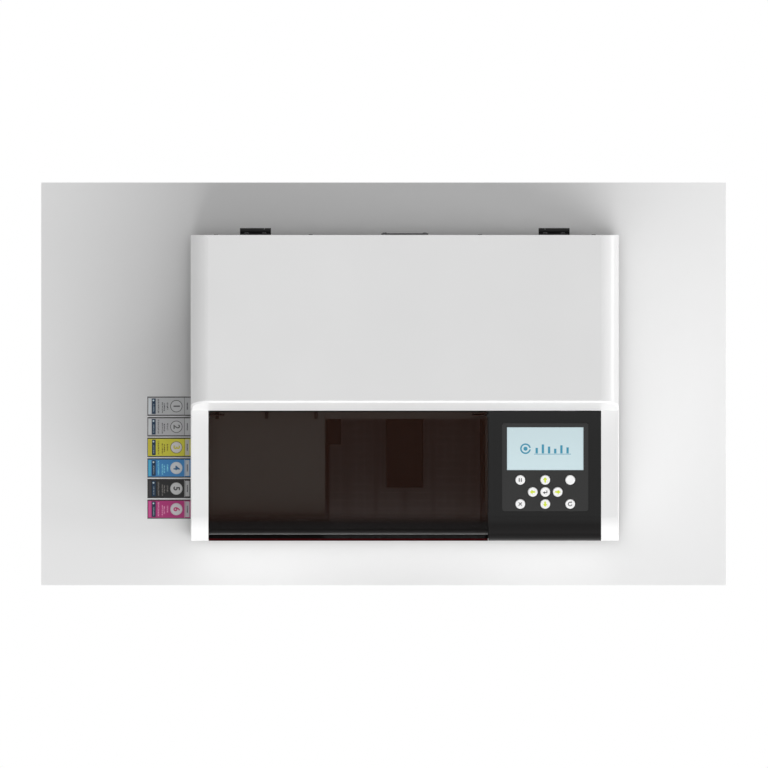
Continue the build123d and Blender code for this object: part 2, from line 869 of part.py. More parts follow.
# Cartridge bay: a block with six slots, a needle for each cartridge on its back wall
bay_left_face = -half_width + skin
bay_back_wall = cartridge_right + cartridge_clearance
with BuildPart() as cartridge_bay:
    slab(
        (bay_left_face, bay_back_wall + skin),
        (cartridges_front - bay_wall, cartridges_back + bay_wall),
        (slot_bottom - bay_wall, slot_bottom + slot_height + bay_wall),
    )
    with BuildSketch(across.offset(bay_left_face)):
        with Locations(*[(y, slot_bottom + slot_height / 2) for y in cartridge_ys]):
            Rectangle(slot_width, slot_height)
    extrude(amount=bay_back_wall - bay_left_face, mode=Mode.SUBTRACT)
    with BuildSketch(across.offset(bay_back_wall)):
        with Locations(*[(y, cartridge_bottom + needle_rise) for y in cartridge_ys]):
            RegularPolygon(needle_radius, needle_sides)
    extrude(amount=-needle_length)
save(cartridge_bay, "cartridge_bay")

# Cartridges: long slim tanks with a finger grip outside and a needle port at the far end
for number, y in enumerate(cartridge_ys, start=1):
    with BuildPart() as cartridge:
        with BuildSketch(across.offset(cartridge_left)) as outline:
            with Locations((y, cartridge_bottom + cartridge_height / 2)):
                Rectangle(cartridge_width, cartridge_height)
            chamfer(outline.vertices(), cartridge_bevel)
        extrude(amount=cartridge_length)
        with BuildSketch(across.offset(cartridge_left)) as grip:
            with Locations((y, cartridge_bottom + cartridge_height / 2)):
                Rectangle(grip_width, grip_height)
            chamfer(grip.vertices(), grip_bevel)
        extrude(amount=grip_depth, mode=Mode.SUBTRACT)
        with BuildSketch(across.offset(cartridge_right)):
            with Locations((y, cartridge_bottom + needle_rise)):
                RegularPolygon(needle_radius + needle_hole_clearance, needle_sides)
        extrude(amount=-needle_length - needle_hole_clearance, mode=Mode.SUBTRACT)
    save(cartridge, f"ink_cartridge_{number}")

# Portal frame: a square tube across the printer on two uprights, with the X motor's plate
beam_back = beam_front + beam_size
upright_outer = upright_inner + upright_thickness
with BuildPart() as portal_frame:
    with BuildSketch(across.offset(-upright_outer)):
        with Locations(((beam_front + beam_back) / 2, (beam_bottom + beam_top) / 2)):
            Rectangle(beam_size, beam_size)
            Rectangle(beam_size - 2 * beam_wall, beam_size - 2 * beam_wall, mode=Mode.SUBTRACT)
    extrude(amount=2 * upright_outer)
    for side in (-1, 1):
        leg_x = sorted((side * upright_inner, side * upright_outer))
        slab(leg_x, (beam_front, beam_back), (pan_top, beam_bottom))
    plate_x = (x_motor_x - motor_size / 2 - sheet, upright_inner + sheet)
    plate_y = (x_belt_y - motor_size / 2, beam_front + sheet)
    slab(plate_x, plate_y, (motor_plate_bottom, motor_plate_bottom + motor_plate))
    boss_hole = motor_boss_radius + seam_gap
    hole_z = (motor_plate_bottom, motor_plate_bottom + motor_plate)
    post(x_motor_x, x_belt_y, boss_hole, hole_z, mode=Mode.SUBTRACT)
save(portal_frame, "portal_frame")

with BuildPart() as x_rail:
    rail_z = (x_rail_z - rail_width / 2, x_rail_z + rail_width / 2)
    slab((x_rail_left, x_rail_right), (beam_front - rail_height, beam_front), rail_z)
save(x_rail, "x_rail")

with BuildPart() as carriage_block:
    block_z = (x_rail_z - block_width / 2, x_rail_z + block_width / 2)
    block_x = (-block_length / 2, block_length / 2)
    block_y = (beam_front - rail_stack, beam_front - rail_stack + block_height)
    slab(block_x, block_y, block_z)
    groove_z = (rail_z[0] - block_clearance, rail_z[1] + block_clearance)
    groove_y = (beam_front - rail_height - block_clearance, block_y[1])
    slab(block_x, groove_y, groove_z, mode=Mode.SUBTRACT)
save(carriage_block, "carriage_block")

# X drive: motor under its plate, idler on a bracket over the beam, and the belt between them
x_motor_face = ground.offset(motor_plate_bottom)
x_motor_mount = Plane(
    origin=x_motor_face.origin + Vector(x_motor_x, x_belt_y, 0), x_dir=(1, 0, 0), z_dir=(0, 0, 1)
)
x_motor_body = step_motor(x_motor_mount, motor_shaft_radius / 2, motor_boss)
with BuildPart() as x_motor:
    add(x_motor_body)
    post(x_motor_x, x_belt_y, motor_shaft_radius, (motor_plate_bottom - motor_boss, pulley_top))
save(x_motor, "x_motor")

with BuildPart() as idler_bracket:
    bracket_left = x_idler_x - pulley_flange_radius - sheet
    with BuildSketch(ground.offset(beam_top)):
        with BuildLine():
            Polyline(
                (bracket_left, beam_back - beam_size / 2),
                (bracket_left, x_belt_y - pulley_flange_radius - sheet),
                (tensioner_left, x_belt_y - pulley_flange_radius - sheet),
                (tensioner_left, tensioner_front),
                (tensioner_right, tensioner_front),
                (tensioner_right, beam_back - beam_size / 2),
                close=True,
            )
        make_face()
    extrude(amount=idler_plate)
    post(x_idler_x, x_belt_y, motor_shaft_radius, (pulley_bottom, beam_top))
save(idler_bracket, "idler_bracket")

with BuildPart() as x_belt:
    with BuildSketch(ground.offset(belt_bottom)):
        with Locations(((x_motor_x + x_idler_x) / 2, x_belt_y)):
            SlotCenterToCenter(x_motor_x - x_idler_x, 2 * (belt_radius + belt_thickness))
            SlotCenterToCenter(x_motor_x - x_idler_x, 2 * belt_radius, mode=Mode.SUBTRACT)
    extrude(amount=belt_width)
save(x_belt, "x_belt")

for name, x in (("x_drive_pulley", x_motor_x), ("x_idler_pulley", x_idler_x)):
    with BuildPart() as pulley:
        with BuildSketch(ground.offset(pulley_bottom)):
            with Locations((x, x_belt_y)):
                RegularPolygon(belt_radius - pulley_clearance, pulley_teeth)
        extrude(amount=pulley_top - pulley_bottom)
        for flange_bottom in (pulley_bottom, pulley_top - pulley_flange):
            with BuildSketch(ground.offset(flange_bottom)):
                with Locations((x, x_belt_y)):
                    RegularPolygon(pulley_flange_radius, round_sides)
            extrude(amount=pulley_flange)
        bore = motor_shaft_radius + running_clearance
        post(x, x_belt_y, bore, (pulley_bottom, pulley_top), mode=Mode.SUBTRACT)
    save(pulley, name)

# Carriage: an open-bottomed housing with a shelf for the head and lamp, a bracket to its
# block under the belt, and a clamp round the belt
carriage_x = (-carriage_width / 2, carriage_width / 2)
carriage_hem_z = nozzle_height + carriage_hem
block_face = beam_front - rail_stack
with BuildPart() as carriage_frame:
    with BuildSketch(ground.offset(carriage_hem_z)):
        with Locations((0, (carriage_front + carriage_back) / 2)):
            Rectangle(carriage_width, carriage_back - carriage_front)
    extrude(amount=carriage_top - carriage_hem_z)
    chamfer(carriage_frame.edges().filter_by(Axis.Z), carriage_skin / 2)
    chamfer(carriage_frame.faces().sort_by(Axis.Z)[-1].edges(), carriage_skin / 2)
    inside_x = (carriage_x[0] + carriage_skin, carriage_x[1] - carriage_skin)
    inside_y = (carriage_front + carriage_skin, carriage_back - carriage_skin)
    shelf_top = carriage_shelf + carriage_shelf_thickness
    slab(inside_x, inside_y, (carriage_hem_z, carriage_shelf), mode=Mode.SUBTRACT)
    slab(inside_x, inside_y, (shelf_top, carriage_top - carriage_skin), mode=Mode.SUBTRACT)
    slab(
        (-head_width / 2 - seam_gap, head_width / 2 + seam_gap),
        (head_front - seam_gap, head_back + seam_gap),
        (carriage_shelf, shelf_top),
        mode=Mode.SUBTRACT,
    )
    slab(
        (-lamp_width / 2 - seam_gap, lamp_width / 2 + seam_gap),
        (lamp_front - seam_gap, lamp_back + seam_gap),
        (carriage_shelf, shelf_top),
        mode=Mode.SUBTRACT,
    )
    slab(carriage_x, (block_face - carriage_skin, block_face), block_z)
    slab(
        carriage_x,
        (carriage_back - carriage_skin, block_face - carriage_skin),
        (block_z[0], block_z[0] + carriage_skin),
    )
    clamp_x = (-clamp_length / 2, clamp_length / 2)
    belt_near = x_belt_y - belt_radius
    belt_far = belt_near - belt_thickness
    clamp_z = (belt_bottom - sheet, belt_bottom + belt_width + sheet)
    slab(clamp_x, (carriage_back - carriage_skin, belt_near + sheet), clamp_z)
    slab(
        clamp_x,
        (belt_far - pulley_clearance, belt_near + pulley_clearance),
        (belt_bottom - pulley_clearance, belt_bottom + belt_width + pulley_clearance),
        mode=Mode.SUBTRACT,
    )
save(carriage_frame, "carriage_frame")

with BuildPart() as print_head:
    head_x = (-head_width / 2, head_width / 2)
    slab(head_x, (head_front, head_back), (nozzle_height, shelf_top + head_flange))
    slab(
        (head_x[0] - head_flange / 2, head_x[1] + head_flange / 2),
        (head_front - head_flange / 2, head_back + head_flange / 2),
        (shelf_top, shelf_top + head_flange),
    )
    chamfer(print_head.faces().sort_by(Axis.Z)[0].edges(), head_flange / 2)
save(print_head, "print_head")

with BuildPart() as uv_lamp:
    lamp_x = (-lamp_width / 2, lamp_width / 2)
    slab(lamp_x, (lamp_front, lamp_back), (nozzle_height + sheet, shelf_top + head_flange))
    slab(
        (lamp_x[0] - head_flange / 2, lamp_x[1] + head_flange / 2),
        (lamp_front - head_flange / 2, lamp_back + head_flange / 2),
        (shelf_top, shelf_top + head_flange),
    )
    fin_pitch = (lamp_back - lamp_front - lamp_fin) / (lamp_fins - 1)
    for i in range(lamp_fins):
        fin_front = lamp_front + i * fin_pitch
        fin_z = (shelf_top + head_flange, shelf_top + head_flange + lamp_fin_height)
        slab(lamp_x, (fin_front, fin_front + lamp_fin), fin_z)
save(uv_lamp, "uv_lamp")

# Bed: a grooved plate with the screw's nut bracket under it, and two rails on its underside
bed_front = bed_back - bed_length
bed_x = (-bed_width / 2, bed_width / 2)
with BuildPart() as print_bed:
    slab(bed_x, (bed_front, bed_back), (bed_bottom, bed_top))
    chamfer(print_bed.faces().sort_by(Axis.Z)[-1].edges(), bed_edge)
    with BuildSketch(facing.offset(-bed_back)):
        with Locations((0, bed_top - bed_groove_depth / 2)):
            with GridLocations(bed_groove_pitch, 1, bed_grooves, 1):
                Rectangle(bed_groove_width, bed_groove_depth)
    extrude(amount=bed_length, mode=Mode.SUBTRACT)
    nut_y = (table_nut_y - table_nut_size / 2, table_nut_y + table_nut_size / 2)
    nut_z = (table_screw_z - table_nut_size / 3, bed_bottom)
    slab((-table_nut_size / 2, table_nut_size / 2), nut_y, nut_z)
    bore = screw_radius + running_clearance
    spindle(0, table_screw_z, bore, nut_y, mode=Mode.SUBTRACT)
save(print_bed, "print_bed")

with BuildPart() as table_rails:
    for x in (-table_rail_x, table_rail_x):
        slab(
            (x - rail_width / 2, x + rail_width / 2),
            (bed_front, bed_back),
            (bed_bottom - rail_height, bed_bottom),
        )
save(table_rails, "table_rails")

with BuildPart() as table_guide_blocks:
    for x in (-table_rail_x, table_rail_x):
        for y in table_block_y:
            guide_y = (y - block_length / 2, y + block_length / 2)
            guide_z = (platform_top, platform_top + block_height)
            slab((x - block_width / 2, x + block_width / 2), guide_y, guide_z)
            groove = rail_width / 2 + block_clearance
            groove_z = (bed_bottom - rail_height - block_clearance, guide_z[1])
            slab((x - groove, x + groove), guide_y, groove_z, mode=Mode.SUBTRACT)
save(table_guide_blocks, "table_guide_blocks")

# Lift platform: a plate with a trough down its middle for the screw and motor, a bush at
# each guide post, and the lift nut in an ear at its right edge
trough_floor = table_screw_z - motor_size / 2 - seat_gap
post_places = [(x, y) for x in (-post_x, post_x) for y in post_y]
lift_nut_bottom = platform_top - platform_thickness - screw_seat / 2
with BuildPart() as lift_platform:
    with BuildSketch(ground.offset(platform_top)):
        with Locations((0, (platform_front + platform_back) / 2)):
            Rectangle(2 * platform_half_width, platform_back - platform_front)
        with Locations(*[(0, y) for y in post_y]):
            Rectangle(2 * (post_x + ear_reach), 2 * ear_reach)
        with Locations(((platform_half_width + lift_screw_x) / 2, lift_screw_y)):
            Rectangle(lift_screw_x - platform_half_width + 2 * ear_reach, 2 * ear_reach)
    extrude(amount=-platform_thickness)
    trough_outer = trough_half_width + trough_wall
    trough_z = (trough_floor - trough_wall, platform_top)
    slab((-trough_outer, trough_outer), (platform_front, platform_back), trough_z)
    trough_y = (platform_front + trough_front_wall, platform_back)
    trough_inner = (-trough_half_width, trough_half_width)
    slab(trough_inner, trough_y, (trough_floor, platform_top), mode=Mode.SUBTRACT)
    for x, y in post_places:
        bush_z = (platform_top - bush_length, platform_top)
        block(x, y, bush_size, bush_z)
        post(x, y, post_radius + running_clearance, bush_z, mode=Mode.SUBTRACT)
    nut_z = (lift_nut_bottom, lift_nut_bottom + lift_nut_height)
    block(lift_screw_x, lift_screw_y, lift_nut_size, nut_z)
    post(lift_screw_x, lift_screw_y, screw_radius + running_clearance, nut_z, mode=Mode.SUBTRACT)
    screw_hole_y = (table_screw_front - seam_gap, trough_y[0])
    spindle(0, table_screw_z, screw_radius + running_clearance, screw_hole_y, mode=Mode.SUBTRACT)
save(lift_platform, "lift_platform")

with BuildPart() as lift_posts:
    for x, y in post_places:
        block(x, y, post_flange_size, (pan_top, pan_top + post_flange))
        post(x, y, post_radius, (pan_top + post_flange, post_top))
save(lift_posts, "lift_posts")

# Motors and screws of the bed and of the lift: each screw seats in the end of its motor
table_motor_mount = Plane(
    origin=ground.origin + Vector(0, table_motor_front, table_screw_z),
    x_dir=(1, 0, 0),
    z_dir=(0, -1, 0),
)
screw_bore = screw_radius + running_clearance
table_motor_body = step_motor(table_motor_mount, screw_bore, screw_seat)
with BuildPart() as table_motor:
    add(table_motor_body)
save(table_motor, "table_motor")

with BuildPart() as table_screw:
    seated_end = table_motor_front - motor_boss + screw_seat - seam_gap
    spindle(0, table_screw_z, screw_radius, (table_screw_front, seated_end))
save(table_screw, "table_screw")

lift_motor_top = pan_top + motor_length
lift_motor_mount = Plane(
    origin=ground.origin + Vector(lift_screw_x, lift_screw_y, lift_motor_top),
    x_dir=(1, 0, 0),
    z_dir=(0, 0, 1),
)
lift_motor_body = step_motor(lift_motor_mount, screw_bore, screw_seat)
with BuildPart() as lift_motor:
    add(lift_motor_body)
save(lift_motor, "lift_motor")

with BuildPart() as lift_screw:
    seated_end = lift_motor_top + motor_boss - screw_seat + seam_gap
    post(lift_screw_x, lift_screw_y, screw_radius, (seated_end, lift_screw_top))
save(lift_screw, "lift_screw")

# Cap station: a waste tank, a column and a tray whose lip seals the nozzles at the right end
cap_mid_y = (cap_front + cap_back) / 2
tray_depth = table_nut_size / 2
with BuildPart() as cap_station:
    slab((cap_left, cap_right), (cap_front, cap_back), (pan_top, pan_top + tank_height))
    chamfer(cap_station.faces().sort_by(Axis.Z)[-1].edges(), cap_lip)
    column_x = ((cap_left + cap_right - cap_column) / 2, (cap_left + cap_right + cap_column) / 2)
    column_y = (cap_mid_y - cap_column / 2, cap_mid_y + cap_column / 2)
    tray_top = nozzle_height - cap_gap
    slab(column_x, column_y, (pan_top + tank_height, tray_top - tray_depth))
    tray_x = (cap_left + cap_lip, cap_right - cap_lip)
    tray_y = (cap_front + 2 * cap_lip, cap_back - 2 * cap_lip)
    slab(tray_x, tray_y, (tray_top - tray_depth, tray_top))
    slab(
        (tray_x[0] + cap_lip, tray_x[1] - cap_lip),
        (tray_y[0] + cap_lip, tray_y[1] - cap_lip),
        (tray_top - tray_depth + 2 * cap_lip, tray_top),
        mode=Mode.SUBTRACT,
    )
save(cap_station, "cap_station")

# Fan: a frame with a round bore and four struts to its hub, and a rotor on the hub's axle
fan_back = back - skin
fan_front = fan_back - fan_depth
strut_y = (fan_front, fan_front + fan_strut)
with BuildPart() as fan_frame:
    with BuildSketch(facing.offset(-fan_back)):
        with Locations((0, fan_z)):
            Rectangle(fan_size, fan_size)
            RegularPolygon(
                fan_bore_radius, fan_bore_sides, major_radius=False, mode=Mode.SUBTRACT
            )
    extrude(amount=fan_depth)
    with BuildSketch(facing.offset(-strut_y[1])):
        with Locations((0, fan_z)):
            RegularPolygon(fan_hub_radius, round_sides)
            with PolarLocations(0, 2, start_angle=45, angular_range=180):
                Rectangle(2 * fan_bore_radius + fan_strut, fan_strut)
    extrude(amount=fan_strut)
    spindle(0, fan_z, fan_axle_radius, (fan_front, fan_back - fan_strut))
save(fan_frame, "fan_frame")

rotor_y = (strut_y[1] + seam_gap, fan_back - sheet)
with BuildPart() as fan_rotor:
    with BuildSketch(facing.offset(-rotor_y[1])):
        with Locations((0, fan_z)):
            RegularPolygon(fan_hub_radius, round_sides)
    extrude(amount=rotor_y[1] - rotor_y[0])
    blade_y = (rotor_y[0] + rotor_y[1]) / 2
    for blade in range(fan_blades):
        angle = radians(360 / fan_blades * blade)
        outward = Vector(cos(angle), 0, sin(angle))
        root = ground.origin + Vector(0, blade_y, fan_z) + outward * (fan_hub_radius - sheet)
        with BuildSketch(Plane(origin=root, x_dir=(0, 1, 0), z_dir=outward)):
            Rectangle(fan_blade_chord, fan_blade_thickness, rotation=fan_blade_pitch)
        extrude(amount=fan_tip_radius - fan_hub_radius + sheet)
    bore = fan_axle_radius + running_clearance
    spindle(0, fan_z, bore, (rotor_y[0], fan_back - fan_strut + seam_gap), mode=Mode.SUBTRACT)
save(fan_rotor, "fan_rotor")

# Fan grille: a plate with slots across it, each as long as the round hole behind it is there
slot_rises = [(i - (grille_slots - 1) / 2) * grille_pitch for i in range(grille_slots)]
with BuildPart() as fan_grille:
    with BuildSketch(facing.offset(-back)) as grille:
        with Locations((0, fan_z)):
            Rectangle(grille_size, grille_size)
        chamfer(grille.vertices(), fan_strut)
        for rise in slot_rises:
            chord = 2 * ((fan_hole_radius - grille_slot / 2) ** 2 - rise**2) ** 0.5
            with Locations((0, fan_z + rise)):
                Rectangle(chord, grille_slot, mode=Mode.SUBTRACT)
    extrude(amount=-grille_thickness)
save(fan_grille, "fan_grille")

# Power inlet: one module with a three-pin socket below and a rocker switch above
inlet_back = back + inlet_flange
pocket_z = inlet_z + rocker_rise
socket_z = inlet_z - socket_drop
with BuildPart() as power_inlet:
    with BuildSketch(facing.offset(-inlet_back)) as inlet_face:
        with Locations((inlet_x, inlet_z)):
            Rectangle(
                inlet_width + 2 * inlet_flange_reach,
                inlet_height + 2 * inlet_flange_reach,
            )
        chamfer(inlet_face.vertices(), inlet_flange_reach / 2)
    extrude(amount=inlet_flange)
    with BuildSketch(facing.offset(-back)):
        with Locations((inlet_x, inlet_z)):
            Rectangle(inlet_width, inlet_height)
    extrude(amount=inlet_depth)
    with BuildSketch(facing.offset(-inlet_back)) as socket_outline:
        with Locations((inlet_x, socket_z)):
            Rectangle(socket_width, socket_height)
        lower_corners = socket_outline.vertices().group_by(Axis.Y)[0]
        chamfer(lower_corners, inlet_flange_reach)
    extrude(amount=socket_depth, mode=Mode.SUBTRACT)
    with BuildSketch(facing.offset(-inlet_back + socket_depth)):
        with Locations(
            (inlet_x, socket_z + blade_pin[1] / 2),
            (inlet_x - blade_pin_spread, socket_z - blade_pin[1] / 2),
            (inlet_x + blade_pin_spread, socket_z - blade_pin[1] / 2),
        ):
            Rectangle(blade_pin[0], blade_pin[1])
    extrude(amount=-blade_pin[2])
    with BuildSketch(facing.offset(-inlet_back)):
        with Locations((inlet_x, pocket_z)):
            Rectangle(rocker_width + 2 * seam_gap, rocker_length + 2 * seam_gap)
    extrude(amount=rocker_pocket_depth, mode=Mode.SUBTRACT)
    pivot_x = (inlet_x - rocker_width / 2 - sheet, inlet_x + rocker_width / 2 + sheet)
    pivot_hole = rocker_pivot_radius + running_clearance
    bar(back, pocket_z, pivot_hole, pivot_x, mode=Mode.SUBTRACT)
save(power_inlet, "power_inlet")

# Rocker: its V-shaped key is drawn level and turned about its pivot to the off position
rocker_plane = Plane(
    origin=ground.origin + Vector(inlet_x - rocker_width / 2, back, pocket_z),
    x_dir=Vector(0, cos(radians(rocker_tilt)), sin(radians(rocker_tilt))),
    z_dir=(1, 0, 0),
)
half_rocker = rocker_length / 2 - seam_gap
with BuildPart() as power_rocker:
    with BuildSketch(rocker_plane):
        with BuildLine():
            Polyline(
                (inlet_flange + rocker_ridge, -half_rocker),
                (inlet_flange, 0),
                (inlet_flange + rocker_ridge, half_rocker),
                (0, half_rocker),
                (-rocker_pocket_depth / 2, 0),
                (0, -half_rocker),
                close=True,
            )
        make_face()
    extrude(amount=rocker_width)
    pivot_end = sheet - seam_gap
    pin_x = (inlet_x - rocker_width / 2 - pivot_end, inlet_x + rocker_width / 2 + pivot_end)
    bar(back, pocket_z, rocker_pivot_radius, pin_x)
save(power_rocker, "power_rocker")

# Power supply: a folded metal case with its terminal block open at the front end
supply_right = supply_left + supply_width
supply_z = (pan_top, pan_top + supply_height)
with BuildPart() as power_supply:
    slab((supply_left, supply_right), (supply_front, supply_front + supply_length), supply_z)
    slab(
        (supply_left + sheet, supply_right - sheet),
        (supply_front, supply_front + supply_terminal),
        (pan_top + sheet, supply_z[1]),
        mode=Mode.SUBTRACT,
    )
    slab(
        (supply_left + supply_terminal, supply_right - sheet),
        (supply_front + sheet, supply_front + supply_terminal),
        (pan_top + sheet, pan_top + supply_height / 2),
    )
save(power_supply, "power_supply")

# Main board on four stand-offs, with the USB port at its back edge
usb_back = back - seam_gap
board_back = usb_back - usb_size[2] / 4
with BuildPart() as main_board:
    slab((board_left, board_right), (board_front, board_back), (board_z, board_z + board_thickness))
    with BuildSketch(ground.offset(pan_top)):
        for x in (board_left + board_inset, board_right - board_inset):
            with Locations((x, board_front + board_inset), (x, board_back - 2 * board_inset)):
                RegularPolygon(standoff_radius, standoff_sides)
    extrude(amount=board_z - pan_top)
    top = board_z + board_thickness
    heights = [chip_height] * len(chip_places) + [heat_sink_height]
    for (right, up), height in zip((*chip_places, heat_sink_place), heights):
        x = board_left + right
        y = board_front + up
        slab((x, x + chip_size), (y, y + chip_size), (top, top + height))
    usb_x_range = (usb_x - usb_size[0] / 2, usb_x + usb_size[0] / 2)
    slab(usb_x_range, (usb_back - usb_size[2], usb_back), (top, top + usb_size[1]))
    slab(
        (usb_x - usb_mouth[0] / 2, usb_x + usb_mouth[0] / 2),
        (usb_back - usb_mouth[2], usb_back),
        (usb_z - usb_mouth[1] / 2, usb_z + usb_mouth[1] / 2),
        mode=Mode.SUBTRACT,
    )
save(main_board, "main_board")
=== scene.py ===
"""Gives a desktop flatbed UV printer its finishes, printed labels, signs and fine parts."""

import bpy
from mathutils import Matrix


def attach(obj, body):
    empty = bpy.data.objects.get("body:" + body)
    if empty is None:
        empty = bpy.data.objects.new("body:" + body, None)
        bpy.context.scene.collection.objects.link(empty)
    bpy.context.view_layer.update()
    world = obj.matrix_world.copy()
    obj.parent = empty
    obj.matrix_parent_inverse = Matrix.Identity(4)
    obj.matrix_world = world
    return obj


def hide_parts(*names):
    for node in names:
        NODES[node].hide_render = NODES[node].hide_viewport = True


bl_info = {
    "name": "UV Printer Finishes",
    "version": (1, 0, 0),
    "blender": (4, 5, 0),
    "location": "3D Viewport > Sidebar > Printer",
    "description": "Finishes, labels, signs and fine parts of a flatbed printer",
    "category": "Object",
}

from math import cos, pi, radians, sin

import bmesh
import bpy
import numpy as np
from bpy.props import FloatProperty, FloatVectorProperty, IntProperty, PointerProperty
from mathutils import Vector

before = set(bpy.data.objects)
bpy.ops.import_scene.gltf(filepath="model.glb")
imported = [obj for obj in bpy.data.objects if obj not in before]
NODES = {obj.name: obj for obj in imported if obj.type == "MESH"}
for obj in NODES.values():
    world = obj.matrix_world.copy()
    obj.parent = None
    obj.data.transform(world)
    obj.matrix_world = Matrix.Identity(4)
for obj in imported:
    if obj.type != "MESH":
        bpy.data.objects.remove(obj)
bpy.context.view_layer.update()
MM = 0.001
# Points of a new piece that are nearer than this become one
WELD = 0.001 * MM
# Faces that meet at more than this keep a sharp edge between them
SHARP = radians(35)
# Past the whole printer, where a band or an area has no end of its own
FAR = 1.0

DECK_TILT = radians(8)
DECK_NORMAL = Vector((0, -sin(DECK_TILT), cos(DECK_TILT)))
UP_THE_DECK = Vector((0, cos(DECK_TILT), sin(DECK_TILT)))
RIGHT = Vector((1, 0, 0))
FRONT = Vector((0, -1, 0))
BACK = Vector((0, 1, 0))
UP = Vector((0, 0, 1))

# Clips that stand on the inner deck: their place in y, and their rise above the sheet
CLIPS = (-44 * MM, -32 * MM)
CLIP_RISE = (0.3 * MM, 3.3 * MM)

# How far behind their front edges the window and the panel begin to bend down, where their painted
# shade begins
WINDOW_BEND = 34 * MM
PANEL_BEND = 32 * MM
# Their painted shade deepens from there over this length
BEND_SHADE_RAMP = 12 * MM
# Painted shade: a dark line along the window's rear edge, for the shaded gap in front of the hood
REAR_SHADE_LINE = 1.2 * MM
# Heights above the lowest point: the two red rims, and the painted shade on the panel's foot, its
# darkest part
WINDOW_RIM_RISE = 5 * MM
PANEL_RIM_RISE = 3 * MM
PANEL_FOOT_SHADE_RISE = 20 * MM

# A key: its cap, the dish in the cap, the flange under it and the stem above its switch
CAP_RADIUS = 5.9 * MM
CAP_ROUND = 0.7 * MM
CAP_RIM = 1.2 * MM
CAP_DISH = 0.12 * MM
CAP_SIDES = 48
FLANGE_FOOT = -3.8 * MM
FLANGE_RISE = 1 * MM
FLANGE_WIDTH = 14.4 * MM
STEM_WIDTH = 4.4 * MM

# Signs on the keys, seen from above, in mm
ARROW_KEYS = {"button_right": 0, "button_up": 90, "button_left": 180, "button_down": 270}
ARROW = ((-3.2, -1), (0.2, -1), (0.2, -2.7), (3.6, 0), (0.2, 2.7), (0.2, 1), (-3.2, 1))
RETURN_ARROW = (
    (2.7, 2), (1.7, 2), (1.7, -0.3), (-0.6, -0.3), (-0.6, 0.9), (-3, -0.8), (-0.6, -2.5),
    (-0.6, -1.3), (2.7, -1.3),
)
CROSS = (
    (2.3, 1.7), (1.7, 2.3), (0, 0.6), (-1.7, 2.3), (-2.3, 1.7), (-0.6, 0), (-2.3, -1.7),
    (-1.7, -2.3), (0, -0.6), (1.7, -2.3), (2.3, -1.7), (0.6, 0),
)
ROUND_ARROW_HEAD = ((0.6, 2.9), (2.6, 3.1), (1.9, 1.2))

# The screen's drawing about the screen's middle: a gauge, and bars that stand on a rule
GAUGE_CENTRE = (-24.5 * MM, 0)
GAUGE_RING = (4.7 * MM, 6.7 * MM)
GAUGE_GAP = (GAUGE_CENTRE[0], GAUGE_CENTRE[0] + 9 * MM)
GAUGE_GAP_HALF = 1 * MM
GAUGE_DOT = 2.6 * MM
BARS = (-14 * MM, 32 * MM)
BAR_PITCH = (BARS[1] - BARS[0]) / 6
# The part of its pitch that a bar fills, its foot, the lowest top and how much higher tops can be
BAR_PART = (0.25, 0.65)
BAR_FOOT = -6 * MM
LOWEST_BAR = -1 * MM
BAR_RANGE = 7 * MM
RULE = (-7.2 * MM, -6.4 * MM)
# From the screen's middle to its upper edge
SCREEN_HALF = 27 * MM

CARTRIDGES = [f"ink_cartridge_{number}" for number in range(1, 7)]
LABEL_LENGTH = 150 * MM
LABEL_START = 0.8 * MM
LABEL_CORNER = 0.6 * MM
PRINT_MARGIN = 0.8 * MM
# Where each mark of a label begins and ends, from the cartridge's outer end inwards, in mm
MARKS = {
    "head": (1.4, 4.5), "block": (5.5, 10.5), "small_text": (7.2, 8.6), "wide_line": (12.8, 14.8),
    "middle_line": (17.8, 19.4), "short_line": (20.2, 22), "word": (24, 26), "rule": (45.8, 46.4),
    "tail": (47, 52.4), "bar": (48.9, 50.3),
}
INKS = {
    "first_white": {
        "slot": "ink_white", "ground": (0.39, 0.395, 0.4), "head": (0.56, 0.6, 0.63),
        "text": (0.06, 0.06, 0.065), "disc": (0.44, 0.445, 0.45), "ring": (0.06, 0.06, 0.06),
        "tail": (0.38, 0.385, 0.39), "sign": (0.06, 0.06, 0.06),
    },
    "second_white": {
        "slot": "ink_white", "ground": (0.39, 0.39, 0.4), "head": (0.56, 0.58, 0.59),
        "text": (0.06, 0.06, 0.065), "disc": (0.44, 0.445, 0.45), "ring": (0.06, 0.06, 0.06),
        "tail": (0.42, 0.425, 0.43), "sign": (0.08, 0.08, 0.08),
    },
    "yellow": {
        "slot": "ink_yellow", "ground": (0.53, 0.5, 0.055), "head": (0.5, 0.4, 0.05),
        "text": (0.13, 0.09, 0.02), "disc": (0.56, 0.54, 0.52), "ring": (0.16, 0.136, 0.05),
        "tail": (0.42, 0.41, 0.38), "sign": (0.5, 0.45, 0.02),
    },
    "cyan": {
        "slot": "ink_cyan", "ground": (0.05, 0.2, 0.43), "head": (0.09, 0.42, 0.56),
        "text": (0.2, 0.56, 0.68), "disc": (0.54, 0.56, 0.58), "ring": (0.46, 0.48, 0.5),
        "tail": (0.42, 0.44, 0.46), "sign": (0.016, 0.09, 0.2),
    },
    "black": {
        "slot": "ink_black", "ground": (0.02, 0.02, 0.02), "head": (0.05, 0.045, 0.048),
        "text": (0.17, 0.16, 0.15), "disc": (0.5, 0.5, 0.5), "ring": (0.42, 0.42, 0.42),
        "tail": (0.42, 0.42, 0.42), "sign": (0.02, 0.02, 0.02),
    },
    "magenta": {
        "slot": "ink_magenta", "ground": (0.37, 0.038, 0.16), "head": (0.56, 0.1, 0.28),
        "text": (0.64, 0.26, 0.42), "disc": (0.54, 0.52, 0.54), "ring": (0.44, 0.4, 0.42),
        "tail": (0.42, 0.4, 0.42), "sign": (0.42, 0.01, 0.12),
    },
}

# Between the bare end plates of a motor
LAMINATIONS = (9 * MM, 31 * MM)
LAMINATION_PITCH = 0.5 * MM
# How finely a lead screw's thread is drawn
RINGS_PER_TURN = 20

